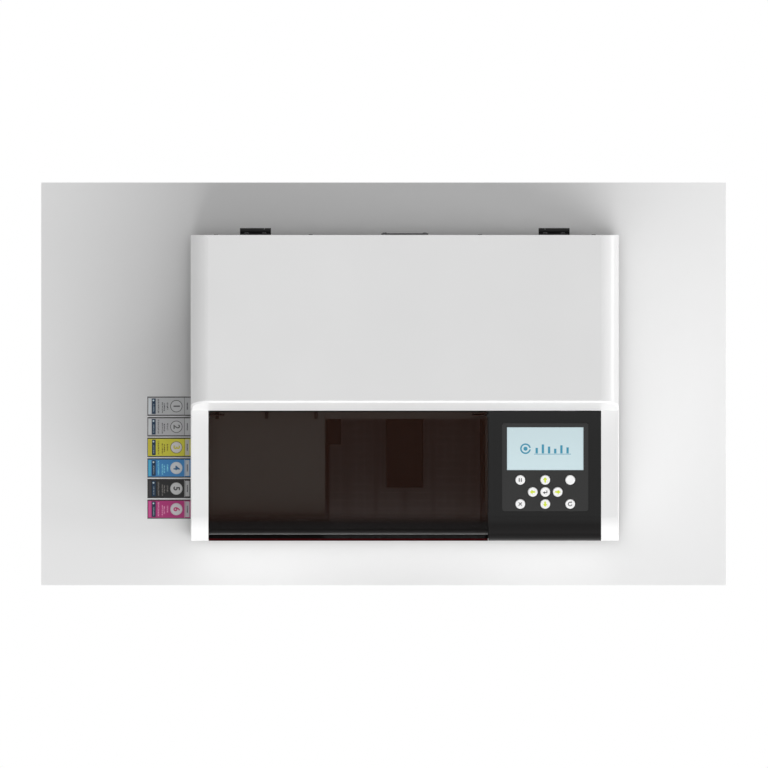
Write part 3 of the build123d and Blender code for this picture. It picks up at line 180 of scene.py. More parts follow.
# Lines engraved in the bed: a grid, and a finer scale along its right edge
BED_GRID = 10 * MM
BED_SCALE = 1 * MM
BED_SCALE_WIDTH = 4 * MM
BED_LINE = 0.15 * MM

VENT_PITCH = 6 * MM
# A vent hole's radius over the pitch
VENT_HOLE = 0.32
# The main board's parts begin so high above its lowest point, and its sockets so far from the rear
MAIN_BOARD_PARTS = 11.8 * MM
SOCKET_DEPTH = 16 * MM

# Radius, height and squareness of a button head with a hexagonal recess, in mm
SCREW_HEAD = (
    (0, 0.2, 1), (1, 0.2, 1), (1, 0.75, 1), (1.3, 0.85, 0), (1.9, 0.78, 0), (2.45, 0.55, 0),
    (2.75, 0.2, 0), (2.75, 0, 0), (0, 0, 0),
)
SCREW_SIDES = 24
# Screws up the rear panel's edges and along its foot
EDGE_INSET = 9 * MM
EDGE_SCREWS = (34 * MM, 135 * MM, 236 * MM)
FOOT_SCREWS = (-90 * MM, 27 * MM, 120 * MM)
FOOT_SCREW_RISE = 24 * MM
# From the grille's centre to its screws, across and up
GRILLE_SCREWS = 25 * MM
# A hinge: its middle from its outer end, and its screws from the middle and from the plate's end
HINGE_MIDDLE = 19.2 * MM
HINGE_SCREWS = 11 * MM
HINGE_SCREW_INSET = 8 * MM
HINGE_PLATE = 2 * MM

FLOOR_REACH = 3
# The grey middle of the floor: its reach in x and in y
FLOOR_GREY = ((-0.4252, 0.4262), (-0.2498, 0.2512))
# Towards the wide soft lamp at the front, and towards the low one at the right
KEY_LIGHT = (0.25, -0.7, 0.45)
SIDE_LIGHT = (0.98, -0.1, 0.17)
CAMERA_PLACE = (1.1 * MM, 0.5 * MM, 2)
CAMERA_SPAN = 0.9542


def colour(name, description, default):
    """A colour that the user can change."""
    return FloatVectorProperty(
        name=name, description=description, default=default, min=0, max=1, size=3, subtype="COLOR"
    )


def length(name, description, default):
    """A length in metres that the user can change."""
    return FloatProperty(
        name=name, description=description, default=default, min=0, unit="LENGTH", precision=5
    )


def strength(name, description, default):
    """A strength of light that the user can change."""
    return FloatProperty(name=name, description=description, default=default, min=0)


def turn(name, description, default):
    """An angle that the user can change."""
    return FloatProperty(name=name, description=description, default=default, unit="ROTATION")


class PrinterColours(bpy.types.PropertyGroup):
    """Colours of the printer's finishes, in linear light."""

    shell: colour("Shell", "White moulded casing and hood", (0.8, 0.8, 0.8))
    panel: colour("Control panel", "Gloss black moulding", (0.022, 0.022, 0.022))
    keypad: colour("Keypad plate", "Charcoal plate round the keys", (0.021, 0.021, 0.021))
    window: colour("Window", "Tinted acrylic", (0.024, 0.009, 0.0055))
    window_rim: colour("Window rim", "Dark red cut edge of the acrylic", (0.04, 0.001, 0.002))
    sheet: colour("Dark sheet", "Powder coated sheet metal", (0.12, 0.12, 0.109))
    key: colour("Keys", "White key caps", (0.93, 0.93, 0.93))
    arrow: colour("Arrows", "Yellow-green signs on the arrow keys", (0.66, 0.78, 0.02))
    sign: colour("Signs", "Dark signs on the other keys", (0.03, 0.03, 0.03))
    screen: colour("Screen", "Lit background of the screen", (0.6, 0.75, 0.79))
    drawing: colour("Screen drawing", "Teal figures on the screen", (0.01, 0.27, 0.42))


class PrinterSizes(bpy.types.PropertyGroup):
    """Sizes of the pieces that these operators add, and the strength and width of the lights."""

    label_margin: length("Label margin", "Bare cartridge beside its label", 1.4 * MM)
    label_thickness: length("Label thickness", "Film with its adhesive", 0.12 * MM)
    circle_radius: length("Label circle", "Radius of the printed circle", 7.6 * MM)
    circle_place: length("Label circle place", "From the outer end to its centre", 36 * MM)
    digit_height: length("Digit height", "Height of the cartridge numbers", 11 * MM)
    sign_rise: length("Sign rise", "Printed signs above their key", 0.08 * MM)
    belt_pitch: length("Belt pitch", "From one belt tooth to the next", 2 * MM)
    tooth_depth: length("Tooth depth", "Height of a belt tooth", 0.6 * MM)
    thread_depth: length("Thread depth", "Depth of the lead screws' thread", 0.45 * MM)
    thread_starts: IntProperty(
        name="Thread starts", description="Threads side by side on a screw", default=4, min=1
    )
    deck_over_cap: length("Deck height", "Inner deck above the cap station", 74.4 * MM)
    rim: length("Window rim", "Width of the red cut edge", 3 * MM)
    belt_thickness: length("Belt thickness", "Back and teeth together", 1.4 * MM)
    ambient: FloatProperty(
        name="Ambient light", description="Strength of the white world", default=0.44, min=0, max=1
    )
    lamp_strength: strength("Lamp strength", "Strength of the soft lamp", 2.5)
    lamp_angle: turn("Lamp angle", "How wide the lamp looks", radians(80))
    side_strength: strength("Side strength", "Strength of the low lamp at the right", 0.8)
    side_angle: turn("Side angle", "How wide the low lamp looks", radians(16))


def operator(operation, reflected=False):
    """A method for arithmetic on a Value. A reflected one has the Value on the right."""
    if reflected:
        return lambda value, other: value.math(operation, other, value)
    return lambda value, other: value.math(operation, value, other)


class Value:
    """A socket in a material's node tree. Arithmetic on it adds Math nodes."""

    def __init__(self, finish, socket):
        self.finish = finish
        self.socket = socket

    def math(self, operation, *terms):
        return self.finish.node("ShaderNodeMath", {"operation": operation}, terms)

    __add__ = operator("ADD")
    __radd__ = operator("ADD", reflected=True)
    __sub__ = operator("SUBTRACT")
    __rsub__ = operator("SUBTRACT", reflected=True)
    __mul__ = operator("MULTIPLY")
    __rmul__ = operator("MULTIPLY", reflected=True)
    __truediv__ = operator("DIVIDE")
    __rtruediv__ = operator("DIVIDE", reflected=True)
    __pow__ = operator("POWER")
    __rpow__ = operator("POWER", reflected=True)
    least = operator("MINIMUM")
    most = operator("MAXIMUM")

    def part(self):
        return self.math("FRACT", self)

    def whole(self):
        return self.math("FLOOR", self)

    def clamp(self):
        return self.finish.node("ShaderNodeClamp", {}, [self])


class Nodes:
    """A node tree in the making."""

    def __init__(self, tree):
        self.tree = tree

    def feed(self, socket, value):
        """Sets a socket to a plain value or links it to a Value."""
        if isinstance(value, Value):
            self.tree.links.new(value.socket, socket)
        elif hasattr(value, "__len__") and socket.type == "RGBA":
            socket.default_value = (*value[:3], 1)
        else:
            socket.default_value = value

    def node(self, kind, settings, inputs=(), output=0):
        """Adds a node of a kind: its settings first, then its sockets by number or name."""
        added = self.tree.nodes.new(kind)
        for name, value in settings.items():
            setattr(added, name, value)
        pairs = inputs.items() if isinstance(inputs, dict) else enumerate(inputs)
        for key, value in pairs:
            self.feed(added.inputs[key], value)
        return Value(self, added.outputs[output])

    def white_for_the_eye(self):
        """1 for what the camera, a gloss or a glass shows, and 0 for what lights the object."""
        path = self.node("ShaderNodeLightPath", {}, output="Is Camera Ray")
        outputs = path.socket.node.outputs
        glossy = Value(self, outputs["Is Glossy Ray"])
        return (path + glossy + Value(self, outputs["Is Transmission Ray"])).clamp()


class Finish(Nodes):
    """A material in the making, with its Principled shader."""

    def __init__(self, name, **constants):
        self.material = bpy.data.materials.new(name)
        self.material.use_nodes = True
        super().__init__(self.material.node_tree)
        self.shader = self.tree.nodes["Principled BSDF"]
        for socket, value in constants.items():
            self.set(socket.replace("_", " "), value)

    def places(self, stretch=(1, 1, 1)):
        """Object coordinates, stretched along each axis."""
        where = self.node("ShaderNodeTexCoord", {}, output="Object")
        return self.node("ShaderNodeMapping", {}, {"Vector": where, "Scale": stretch})

    def axes(self):
        """Object coordinates as three numbers."""
        first = self.node("ShaderNodeSeparateXYZ", {}, [self.places()])
        outputs = first.socket.node.outputs
        return [Value(self, outputs[axis]) for axis in range(3)]

    def noise(self, scale, detail=2.0, stretch=(1, 1, 1)):
        """Smooth noise from 0 to 1."""
        where = self.places(stretch)
        inputs = {"Vector": where, "Scale": scale, "Detail": detail}
        return self.node("ShaderNodeTexNoise", {}, inputs)

    def mix(self, factor, first, second):
        """First colour where factor is 0, second where it is 1."""
        inputs = {0: factor, 6: first, 7: second}
        return self.node("ShaderNodeMix", {"data_type": "RGBA"}, inputs, output=2)

    def bump(self, height, distance):
        """Raises the surface by height times distance in metres."""
        inputs = {"Height": height, "Distance": distance, "Strength": 1.0}
        self.set("Normal", self.node("ShaderNodeBump", {}, inputs))

    def set(self, socket, value):
        """Feeds one of the shader's sockets."""
        self.feed(self.shader.inputs[socket], value)

    def paint(self, *nodes):
        """Gives CAD nodes this material."""
        for name in nodes:
            NODES[name].data.materials.clear()
            NODES[name].data.materials.append(self.material)


def band(value, low, high, blur=0.1 * MM):
    """1 where value lies between low and high, falling to 0 over the blur at each side."""
    return ((value - low) / blur).least((high - value) / blur).clamp()


def area(x, y, x_range, y_range, blur=0.1 * MM):
    """1 inside a rectangle."""
    return band(x, *x_range, blur) * band(y, *y_range, blur)


def distance(x, y, centre):
    """Distance of a place from a centre: the root of the sum of squares."""
    across = x - centre[0]
    along = y - centre[1]
    return (across * across + along * along) ** 0.5


def disc(x, y, centre, radius):
    """1 inside a circle."""
    return band(distance(x, y, centre), -FAR, radius)


def bend_shade_mask(along, front, reach):
    """Mask of painted shade: 0 on the flat of a sheet, rising to 1 where it bends down, from reach
    behind its front.
    """
    return ((front + reach - along) / BEND_SHADE_RAMP).clamp()


def span(node, axis):
    """Lowest and highest place of a CAD node's points along a direction."""
    places = np.empty(len(NODES[node].data.vertices) * 3)
    NODES[node].data.vertices.foreach_get("co", places)
    along = places.reshape(-1, 3) @ np.array(axis)
    return along.min(), along.max()


def extent(node, axis):
    """Length of a CAD node along a direction."""
    low, high = span(node, axis)
    return high - low


def face_centre(node, right, up):
    """Middle of the outermost level of a CAD node, seen with right and up as they are."""
    out = right.cross(up)
    middle = right * np.mean(span(node, right)) + up * np.mean(span(node, up))
    return middle + out * span(node, out)[1]


def surface(points, wrap_rows=False, wrap_columns=False, capped=False):
    """Quads between the neighbours in a grid of points[row, column].

    The grid wraps where it closes on itself, and its first and last rows can be capped.
    """
    rows, columns = points.shape[:2]
    row = np.arange(rows if wrap_rows else rows - 1)[:, None]
    column = np.arange(columns if wrap_columns else columns - 1)[None, :]
    below = (row + 1) % rows
    beside = (column + 1) % columns
    corners = (
        row * columns + column,
        below * columns + column,
        below * columns + beside,
        row * columns + beside,
    )
    faces = np.stack(corners, axis=-1).reshape(-1, 4).tolist()
    if capped:
        ring = np.arange(columns)
        faces += [ring.tolist(), (ring + (rows - 1) * columns).tolist()]
    return points.reshape(-1, 3), faces


def plate(outline, rise, foot=0.0):
    """A flat solid: an outline in x and y, repeated at two heights."""
    outline = np.array(outline, dtype=float)
    levels = [np.column_stack((outline, np.full(len(outline), height))) for height in (foot, rise)]
    return surface(np.array(levels), wrap_columns=True, capped=True)


def box_outline(wide, long, corner):
    """A rectangle: each corner is a quarter circle about its own centre."""
    angle = np.linspace(0, pi / 2, 4)[None, :] + np.arange(4)[:, None] * pi / 2
    across = np.array([1, -1, -1, 1])[:, None] * (wide / 2 - corner)
    along = np.array([1, 1, -1, -1])[:, None] * (long / 2 - corner)
    points = (across + corner * np.cos(angle), along + corner * np.sin(angle))
    return np.stack(points, axis=-1).reshape(-1, 2)


def turned(profile, columns, sides=6):
    """A profile of radius, height and squareness turned about z.

    A row of squareness 0 is a circle. At 1 its radius grows from the middle of a side to the
    corner of a regular polygon, by one over the cosine of the angle from that middle.
    """
    radius, height, squareness = np.array(profile, dtype=float).T[:, :, None]
    angle = np.arange(columns)[None, :] * 2 * pi / columns
    half_side = pi / sides
    corner = 1 / np.cos((angle + half_side) % (2 * half_side) - half_side)
    reach = radius * (1 + squareness * (corner - 1))
    points = (reach * np.cos(angle), reach * np.sin(angle), np.broadcast_to(height, reach.shape))
    return surface(np.stack(points, axis=-1), wrap_columns=True)


def bent_strip(radius, wide, rise, start, end, steps=24):
    """A flat strip along an arc: four corners of its section at every angle."""
    angle = np.linspace(start, end, steps)[:, None]
    reach = radius + wide / 2 * np.array([-1, 1, 1, -1])[None, :]
    height = rise * np.array([0, 0, 1, 1])[None, :] + 0 * angle
    points = np.stack((reach * np.cos(angle), reach * np.sin(angle), height), axis=-1)
    return surface(points, wrap_columns=True, capped=True)


def threaded(long, radius, lead, depth, starts):
    """A lead screw along z.

    Every ring has the same notched outline, crests and roots in turn, and each ring is turned
    by its height over the lead. Both ends are plain journals at the root's radius.
    """
    tooth = np.tile([1.0, 1.0, 0.5, 0.0, 0.0, 0.5], starts)[None, :]
    height = np.linspace(0, long, int(long / lead * RINGS_PER_TURN))[:, None]
    cut = (np.abs(height - long / 2) < long / 2 - lead / 2).astype(float)
    angle = np.arange(starts * 6)[None, :] * 2 * pi / (starts * 6) + 2 * pi * height / lead
    reach = radius - depth + depth * tooth * cut
    height = np.broadcast_to(height, reach.shape)
    points = np.stack((reach * np.cos(angle), reach * np.sin(angle), height), axis=-1)
    return surface(points, wrap_columns=True, capped=True)


def toothed_belt(run, outside, inside, wide, pitch, depth):
    """A belt round two pulleys, as a closed strip whose inner face steps in and out by teeth.

    Its middle slides from one pulley's centre to the other, a run away along x, and back,
    while its outward direction turns half a circle at each end.
    """
    half_turn = pi * outside
    teeth = round((2 * run + 2 * half_turn) / pitch)
    place = np.linspace(0, 2 * run + 2 * half_turn, teeth * 4, endpoint=False)[:, None]
    turned_first = np.clip(place - run, 0, half_turn)
    turned_last = np.clip(place - 2 * run - half_turn, 0, half_turn)
    angle = (turned_first + turned_last) / outside - pi / 2
    slid = np.clip(place, 0, run) - np.clip(place - run - half_turn, 0, run)
    tooth = np.tile([0, 0, 1, 1], teeth)[:, None]
    inner = np.array([0, 0, 1, 1]) * (inside + depth * (1 - tooth))
    reach = np.array([1, 1, 0, 0]) * outside + inner
    height = wide / 2 * np.array([-1, 1, 1, -1])[None, :] + 0 * place
    points = (slid + reach * np.cos(angle), reach * np.sin(angle), height)
    return surface(np.stack(points, axis=-1), wrap_rows=True, wrap_columns=True)


def letter(character, height, rise):
    """A character as a thin solid about the origin, moved outwards by a fortieth of its height."""
    curve = bpy.data.curves.new("letter", "FONT")
    curve.body = character
    curve.align_x = "CENTER"
    curve.align_y = "CENTER"
    curve.size = height
    curve.offset = height / 40
    curve.resolution_u = 4
    curve.extrude = rise / 2
    shape = bpy.data.objects.new("letter", curve)
    mesh = bpy.data.meshes.new_from_object(shape)
    places = np.empty(len(mesh.vertices) * 3)
    mesh.vertices.foreach_get("co", places)
    faces = [list(polygon.vertices) for polygon in mesh.polygons]
    bpy.data.objects.remove(shape)
    bpy.data.curves.remove(curve)
    bpy.data.meshes.remove(mesh)
    return places.reshape(-1, 3), faces


def placed(part, origin, right, up):
    """Puts a part at origin: its x, y and z point right, up and along their cross product."""
    points, faces = part
    axes = np.array([right, up, right.cross(up)])
    return points @ axes + np.array(origin), faces


def piece(name, parts, material, body, hides=()):
    """Joins parts into one object that rides on a body and hides the nodes it stands for."""
    starts = np.cumsum([0] + [len(points) for points, _ in parts])
    faces = [
        [start + corner for corner in face]
        for start, (_, part_faces) in zip(starts.tolist(), parts)
        for face in part_faces
    ]
    mesh = bpy.data.meshes.new(name)
    mesh.from_pydata(np.concatenate([points for points, _ in parts]), [], faces)
    shape = bmesh.new()
    shape.from_mesh(mesh)
    bmesh.ops.remove_doubles(shape, verts=shape.verts, dist=WELD)
    bmesh.ops.dissolve_degenerate(shape, edges=shape.edges, dist=WELD)
    bmesh.ops.recalc_face_normals(shape, faces=shape.faces)
    shape.to_mesh(mesh)
    shape.free()
    mesh.shade_smooth()
    mesh.set_sharp_from_angle(angle=SHARP)
    mesh.materials.append(material)
    made = bpy.data.objects.new(name, mesh)
    bpy.context.scene.collection.objects.link(made)
    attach(made, body)
    if hides:
        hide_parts(*hides)


def moulded(name, tint, roughness, grain, depth, **constants):
    """Moulded plastic: a tint and polish that vary a little, over a fine grain."""
    finish = Finish(name, **constants)
    darker = [0.93 * part for part in tint]
    finish.set("Base Color", finish.mix(finish.noise(7, 3), darker, tint))
    finish.set("Roughness", finish.noise(45, 4) * 0.12 + (roughness - 0.06))
    finish.bump(finish.noise(grain, 3), depth)
    return finish


def printed(name, tint):
    """Ink as a thin film with a very fine grain."""
    return moulded(name, tint, 0.5, 3000, 0.004 * MM).material


def coated(name, tint, roughness=0.5, **constants):
    """Powder coated sheet: pebbled like orange peel, with fine specks in the coat."""
    finish = Finish(name, **constants)
    finish.set("Base Color", specked(finish, tint))
    finish.set("Roughness", finish.noise(60, 4) * 0.2 + (roughness - 0.1))
    finish.bump(finish.noise(900, 2), 0.05 * MM)
    return finish


def specked(finish, tint):
    """A tint with fine paler specks."""
    specks = band(finish.noise(2600, 1), 0.62, 1.1, 0.05)
    paler = [min(1.25 * part + 0.004, 1) for part in tint]
    return finish.mix(specks * 0.5, tint, paler)


def milled(name, tint, roughness, stretch=(1, 1, 1)):
    """Machined metal: fine tool marks, drawn out along one axis by the stretch."""
    finish = Finish(name, Metallic=1.0)
    marks = finish.noise(900, 3, stretch)
    clouds = finish.noise(18, 3)
    darker = [0.8 * part for part in tint]
    finish.set("Base Color", finish.mix(marks * 0.6 + clouds * 0.4, darker, tint))
    finish.set("Roughness", marks * 0.12 + clouds * 0.1 + (roughness - 0.1))
    finish.bump(marks, 0.01 * MM)
    return finish


class PRINTER_OT_casing(bpy.types.Operator):
    """Gives the white mouldings a satin skin and the sheet metal its powder coat"""

    bl_idname = "printer.casing"
    bl_label = "Casing"

    def execute(self, context):
        colours = context.scene.printer_colours
        shell = moulded("white_shell", colours.shell, 0.32, 500, 0.01 * MM)
        shell.paint("hood", "left_side_panel", "right_side_panel", "front_panel")
        coated("white_sheet", colours.shell, 0.45).paint("rear_panel")
        dark = coated("dark_sheet", colours.sheet, Specular_IOR_Level=0.3)
        dark.paint("base_pan", "portal_frame")
        self.deck(colours, context.scene.printer_sizes)
        black = coated("black_sheet", (0.01, 0.01, 0.01), Specular_IOR_Level=0.2)
        black.paint("hood_hinge_barrels", "hood_hinge_knuckles", "window_hinge_pins")
        moulded("foot_rubber", (0.03, 0.03, 0.03), 0.8, 2200, 0.06 * MM).paint("feet")
        return {"FINISHED"}

    def deck(self, colours, sizes):
        """Powder coat, and black on the clips that stand on it."""
        finish = coated("deck_sheet", colours.sheet, Specular_IOR_Level=0.3)
        _, y, z = finish.axes()
        floor = span("cap_station", UP)[1] + sizes.deck_over_cap
        clips = area(y, z, CLIPS, (floor + CLIP_RISE[0], floor + CLIP_RISE[1]))
        coat = specked(finish, colours.sheet)
        finish.set("Base Color", finish.mix(clips, coat, (0.008, 0.008, 0.008)))
        finish.paint("inner_deck")


class PRINTER_OT_window(bpy.types.Operator):
    """Tints the window, paints shade where it bends down at the front and along its rear edge, and
    reddens its cut front edge
    """

    bl_idname = "printer.window"
    bl_label = "Window"

    def execute(self, context):
        colours = context.scene.printer_colours
        sizes = context.scene.printer_sizes
        finish = Finish("tinted_window", Specular_IOR_Level=0.03)
        _, along, height = finish.axes()
        front, back = span("window", BACK)
        low = span("window", UP)[0]
        # Painted shade: where the window bends down at the front it grows dark and more opaque, and
        # a dark line runs along its rear edge
        bend_shade = bend_shade_mask(along, front, WINDOW_BEND)
        rear = band(along, back - REAR_SHADE_LINE, back + 1 * MM, 0.4 * MM)
        edge = (front - sizes.rim, front + sizes.rim)
        rim = area(along, height, edge, (-FAR, low + WINDOW_RIM_RISE))
        # The shaded parts are made more opaque, so that their painted shade shows
        finish.set("Alpha", (bend_shade * 0.52 + rear * 0.5 + rim * 0.3 + 0.36).clamp())
        tint = finish.mix(bend_shade.most(rear), colours.window, (0.003, 0.0022, 0.002))
        finish.set("Base Color", finish.mix(rim, tint, colours.window_rim))
        finish.set("Roughness", finish.noise(25, 3) * 0.06 + 0.03)
        finish.bump(finish.noise(60, 2), 0.01 * MM)
        finish.paint("window")
        return {"FINISHED"}


class PRINTER_OT_control_panel(bpy.types.Operator):
    """Finishes the control panel, its keypad plate and the lit screen"""

    bl_idname = "printer.control_panel"
    bl_label = "Control panel"

    def execute(self, context):
        colours = context.scene.printer_colours
        self.panel(colours, context.scene.printer_sizes.rim)
        keypad = moulded(
            "keypad_black", colours.keypad, 0.45, 1800, 0.03 * MM, Specular_IOR_Level=0.2
        )
        keypad.paint("keypad_plate")
        self.screen(colours)
        return {"FINISHED"}

    def panel(self, colours, rim_width):
        """Gloss black with painted shade where it curves down at the front, darkest on its foot,
        and a red rim below.
        """
        finish = Finish("panel_black", Specular_IOR_Level=0.03)
        _, along, height = finish.axes()
        front = span("control_panel", BACK)[0]
        low = span("control_panel", UP)[0]
        # Painted shade: darker where the panel curves down at the front
        bend_shade = bend_shade_mask(along, front, PANEL_BEND)
        edge = (front - rim_width, front + rim_width)
        rim = area(along, height, edge, (-FAR, low + PANEL_RIM_RISE))
        # Painted shade on the foot, darker still, which dims its reflection
        foot = area(along, height, (edge[0], front + 1 * MM), (low, low + PANEL_FOOT_SHADE_RISE))
        tint = finish.mix(bend_shade, colours.panel, (0.009, 0.0085, 0.0085))
        tint = finish.mix(foot, tint, (0.003, 0.0025, 0.0025))
        finish.set("Base Color", finish.mix(rim, tint, colours.window_rim))
        finish.set("Roughness", finish.noise(25, 3) * 0.08 + 0.14)
        finish.bump(finish.noise(700, 2), 0.004 * MM)
        finish.paint("control_panel")

    def screen(self, colours):
        """A ring gauge with a dot, and six bars that stand on a rule, drawn on a pale ground.

        Each bar is as high as a fraction that steps by the golden section from bar to bar.
        """
        finish = Finish("screen", Coat_Weight=0.5, Coat_Roughness=0.05, Emission_Strength=0.36)
        centre = face_centre("lcd_screen", RIGHT, UP_THE_DECK)
        x, y, z = finish.axes()
        across = x - centre.dot(RIGHT)
        along = y * UP_THE_DECK.y + z * UP_THE_DECK.z - centre.dot(UP_THE_DECK)
        gap = area(across, along, GAUGE_GAP, (-GAUGE_GAP_HALF, GAUGE_GAP_HALF))
        gauge = band(distance(across, along, GAUGE_CENTRE), *GAUGE_RING) * (1 - gap)
        dot = disc(across, along, GAUGE_CENTRE, GAUGE_DOT)
        step = (across - BARS[0]) / BAR_PITCH
        top = (step.whole() * 0.618 + 0.3).part() * BAR_RANGE + LOWEST_BAR
        bars = band(step.part(), *BAR_PART, 0.02) * band(along, BAR_FOOT, top) * band(across, *BARS)
        rule = area(across, along, BARS, RULE)
        drawing = gauge.most(dot).most(bars).most(rule)
        paler = [min(1.12 * part, 1) for part in colours.screen]
        ground = finish.mix((along / SCREEN_HALF * 0.5 + 0.5).clamp(), paler, colours.screen)
        picture = finish.mix(drawing, ground, colours.drawing)
        finish.set("Base Color", finish.mix(0.5, (0, 0, 0), picture))
        finish.set("Emission Color", picture)
        finish.set("Roughness", finish.noise(200) * 0.1 + 0.2)
        finish.paint("lcd_screen")


class PRINTER_OT_keys(bpy.types.Operator):
    """Turns a dished round cap for every key and prints its sign"""

    bl_idname = "printer.keys"
    bl_label = "Keys"

    def execute(self, context):
        colours = context.scene.printer_colours
        caps = moulded("key_white", colours.key, 0.35, 1500, 0.008 * MM).material
        dark = printed("sign_print", colours.sign)
        bright = printed("arrow_print", colours.arrow)
        rise = context.scene.printer_sizes.sign_rise
        for key in sorted(name for name in NODES if name.startswith("button_")):
            centre = face_centre(key, RIGHT, UP_THE_DECK)
            parts = [placed(part, centre, RIGHT, UP_THE_DECK) for part in self.cap(key)]
            piece(key.replace("button", "key"), parts, caps, key, [key])
            parts = [placed(part, centre, RIGHT, UP_THE_DECK) for part in self.sign(key, rise)]
            if parts:
                material = bright if key in ARROW_KEYS else dark
                piece(key.replace("button", "sign"), parts, material, key)
        return {"FINISHED"}

    def cap(self, key):
        """A dished top with a rounded rim, over a square flange and a square stem.

        The dish is a parabola, deepest in the middle, and the rim is a quarter circle.
        """
        low, high = span(key, DECK_NORMAL)
        angle = np.linspace(0, pi / 2, 6)
        rim = np.column_stack((np.sin(angle), np.cos(angle) - 1)) * CAP_ROUND
        rim[:, 0] += CAP_RADIUS - CAP_ROUND
        dish = np.column_stack((np.linspace(0, CAP_RADIUS - CAP_RIM, 5), np.zeros(5)))
        dish[:, 1] = -CAP_DISH * (1 - (dish[:, 0] / dish[-1, 0]) ** 2)
        # The cap's foot is sunk halfway into the flange
        foot = FLANGE_FOOT + FLANGE_RISE / 2
        profile = np.concatenate((dish, rim, [[CAP_RADIUS, foot], [0, foot]]))
        round_cap = turned(np.column_stack((profile, np.zeros(len(profile)))), CAP_SIDES)
        flange = box_outline(FLANGE_WIDTH, FLANGE_WIDTH, 0.6 * MM)
        stem = box_outline(STEM_WIDTH, STEM_WIDTH, 0.4 * MM)
        return [
            round_cap,
            plate(flange, FLANGE_FOOT, FLANGE_FOOT + FLANGE_RISE),
            plate(stem, FLANGE_FOOT, low - high),
        ]

    def sign(self, key, rise):
        """Flat outlines and strips: an arrow, bars, a return arrow, a cross or a round arrow."""
        if key in ARROW_KEYS:
            angle = radians(ARROW_KEYS[key])
            spin = np.array([[cos(angle), sin(angle)], [-sin(angle), cos(angle)]])
            return [plate(np.array(ARROW) * MM @ spin, rise)]
        if key == "button_upper_left":
            bar = box_outline(1.2 * MM, 4.4 * MM, 0.3 * MM)
            return [plate(bar + [side * 1.3 * MM, 0], rise) for side in (-1, 1)]
        if key == "button_enter":
            return [plate(np.array(RETURN_ARROW) * MM, rise)]
        if key == "button_lower_left":
            return [plate(np.array(CROSS) * MM, rise)]
        if key == "button_lower_right":
            strip = bent_strip(2.3 * MM, 0.9 * MM, rise, radians(60), radians(350))
            return [strip, plate(np.array(ROUND_ARROW_HEAD) * MM, rise)]
        return []


class PRINTER_OT_cartridges(bpy.types.Operator):
    """Prints a label with a number for each ink cartridge"""

    bl_idname = "printer.cartridges"
    bl_label = "Cartridges"

    def execute(self, context):
        sizes = context.scene.printer_sizes
        body = moulded("cartridge_black", (0.03, 0.03, 0.03), 0.3, 1500, 0.01 * MM)
        body.paint(*CARTRIDGES)
        for node, ink in zip(CARTRIDGES, INKS.values()):
            digit = node[-1]
            outer = span(node, RIGHT)[0]
            top = face_centre(node, RIGHT, BACK)
            wide = extent(node, BACK) - 2 * sizes.label_margin
            middle = Vector((outer + LABEL_START + LABEL_LENGTH / 2, top.y, top.z))
            label = plate(box_outline(LABEL_LENGTH, wide, LABEL_CORNER), sizes.label_thickness)
            film = self.film(digit, ink, sizes, outer, top.y, wide / 2)
            piece(f"label_{digit}", [placed(label, middle, RIGHT, BACK)], film, node)
            number = letter(digit, sizes.digit_height, sizes.label_thickness)
            spot = Vector((outer + sizes.circle_place, top.y, top.z + sizes.label_thickness))
            tint = printed(f"number_ink_{digit}", ink["sign"])
            piece(f"number_{digit}", [placed(number, spot, FRONT, RIGHT)], tint, node)
        return {"FINISHED"}

    def film(self, digit, ink, sizes, outer, middle, half):
        """Printed film: blocks, a ring or disc and columns of fine marks on a tinted ground."""
        finish = Finish(f"label_{digit}", Specular_IOR_Level=0.2)
        x, y, _ = finish.axes()
        u = x - outer
        v = y - middle
        at = {name: (start * MM, end * MM) for name, (start, end) in MARKS.items()}
        inside = half - PRINT_MARGIN
        across = (-inside, inside)
        circle = (sizes.circle_place, 0)
        marks = band(finish.noise(2300, 1, (0.35, 1, 1)), 0.46, 1.2, 0.04)
        lines = band(u, *at["wide_line"]) + band(u, *at["middle_line"]) * band(v, -half, 5 * MM)
        lines = lines + band(u, *at["short_line"]) * band(v, -6 * MM, 4 * MM)
        word = area(u, v, at["word"], (-4.4 * MM, 4.4 * MM))
        text = (lines * band(v, -inside + 1 * MM, inside - 1 * MM) + word) * marks
        dot = disc(u, v, (7.6 * MM, inside - 2.6 * MM), 1.1 * MM)
        small_text = area(u, v, at["small_text"], (-inside + 2 * MM, 3 * MM)) * marks
        edge = (sizes.circle_radius - 0.9 * MM, sizes.circle_radius)
        bar = area(u, v, at["bar"], (-4.5 * MM, 4.5 * MM)) * (marks * 0.5 + 0.5)
        tint = ink["ground"]
        for mask, paint in (
            (area(u, v, at["head"], across) * 0.8, ink["head"]),
            (text, ink["text"]),
            (area(u, v, at["block"], across, 0.3 * MM), (0.012, 0.03, 0.06)),
            ((dot + small_text * 0.5).clamp(), (0.5, 0.6, 0.65)),
            (disc(u, v, circle, sizes.circle_radius), ink["disc"]),
            (band(distance(u, v, circle), *edge), ink["ring"]),
            (band(u, *at["rule"]), ink["ring"]),
            (area(u, v, at["tail"], across), ink["tail"]),
            (bar, (0.05, 0.05, 0.06)),
        ):
            tint = finish.mix(mask, tint, paint)
        finish.set("Base Color", tint)
        finish.set("Roughness", finish.noise(90, 3) * 0.1 + 0.3)
        finish.bump(finish.noise(1500, 2), 0.006 * MM)
        return finish.material


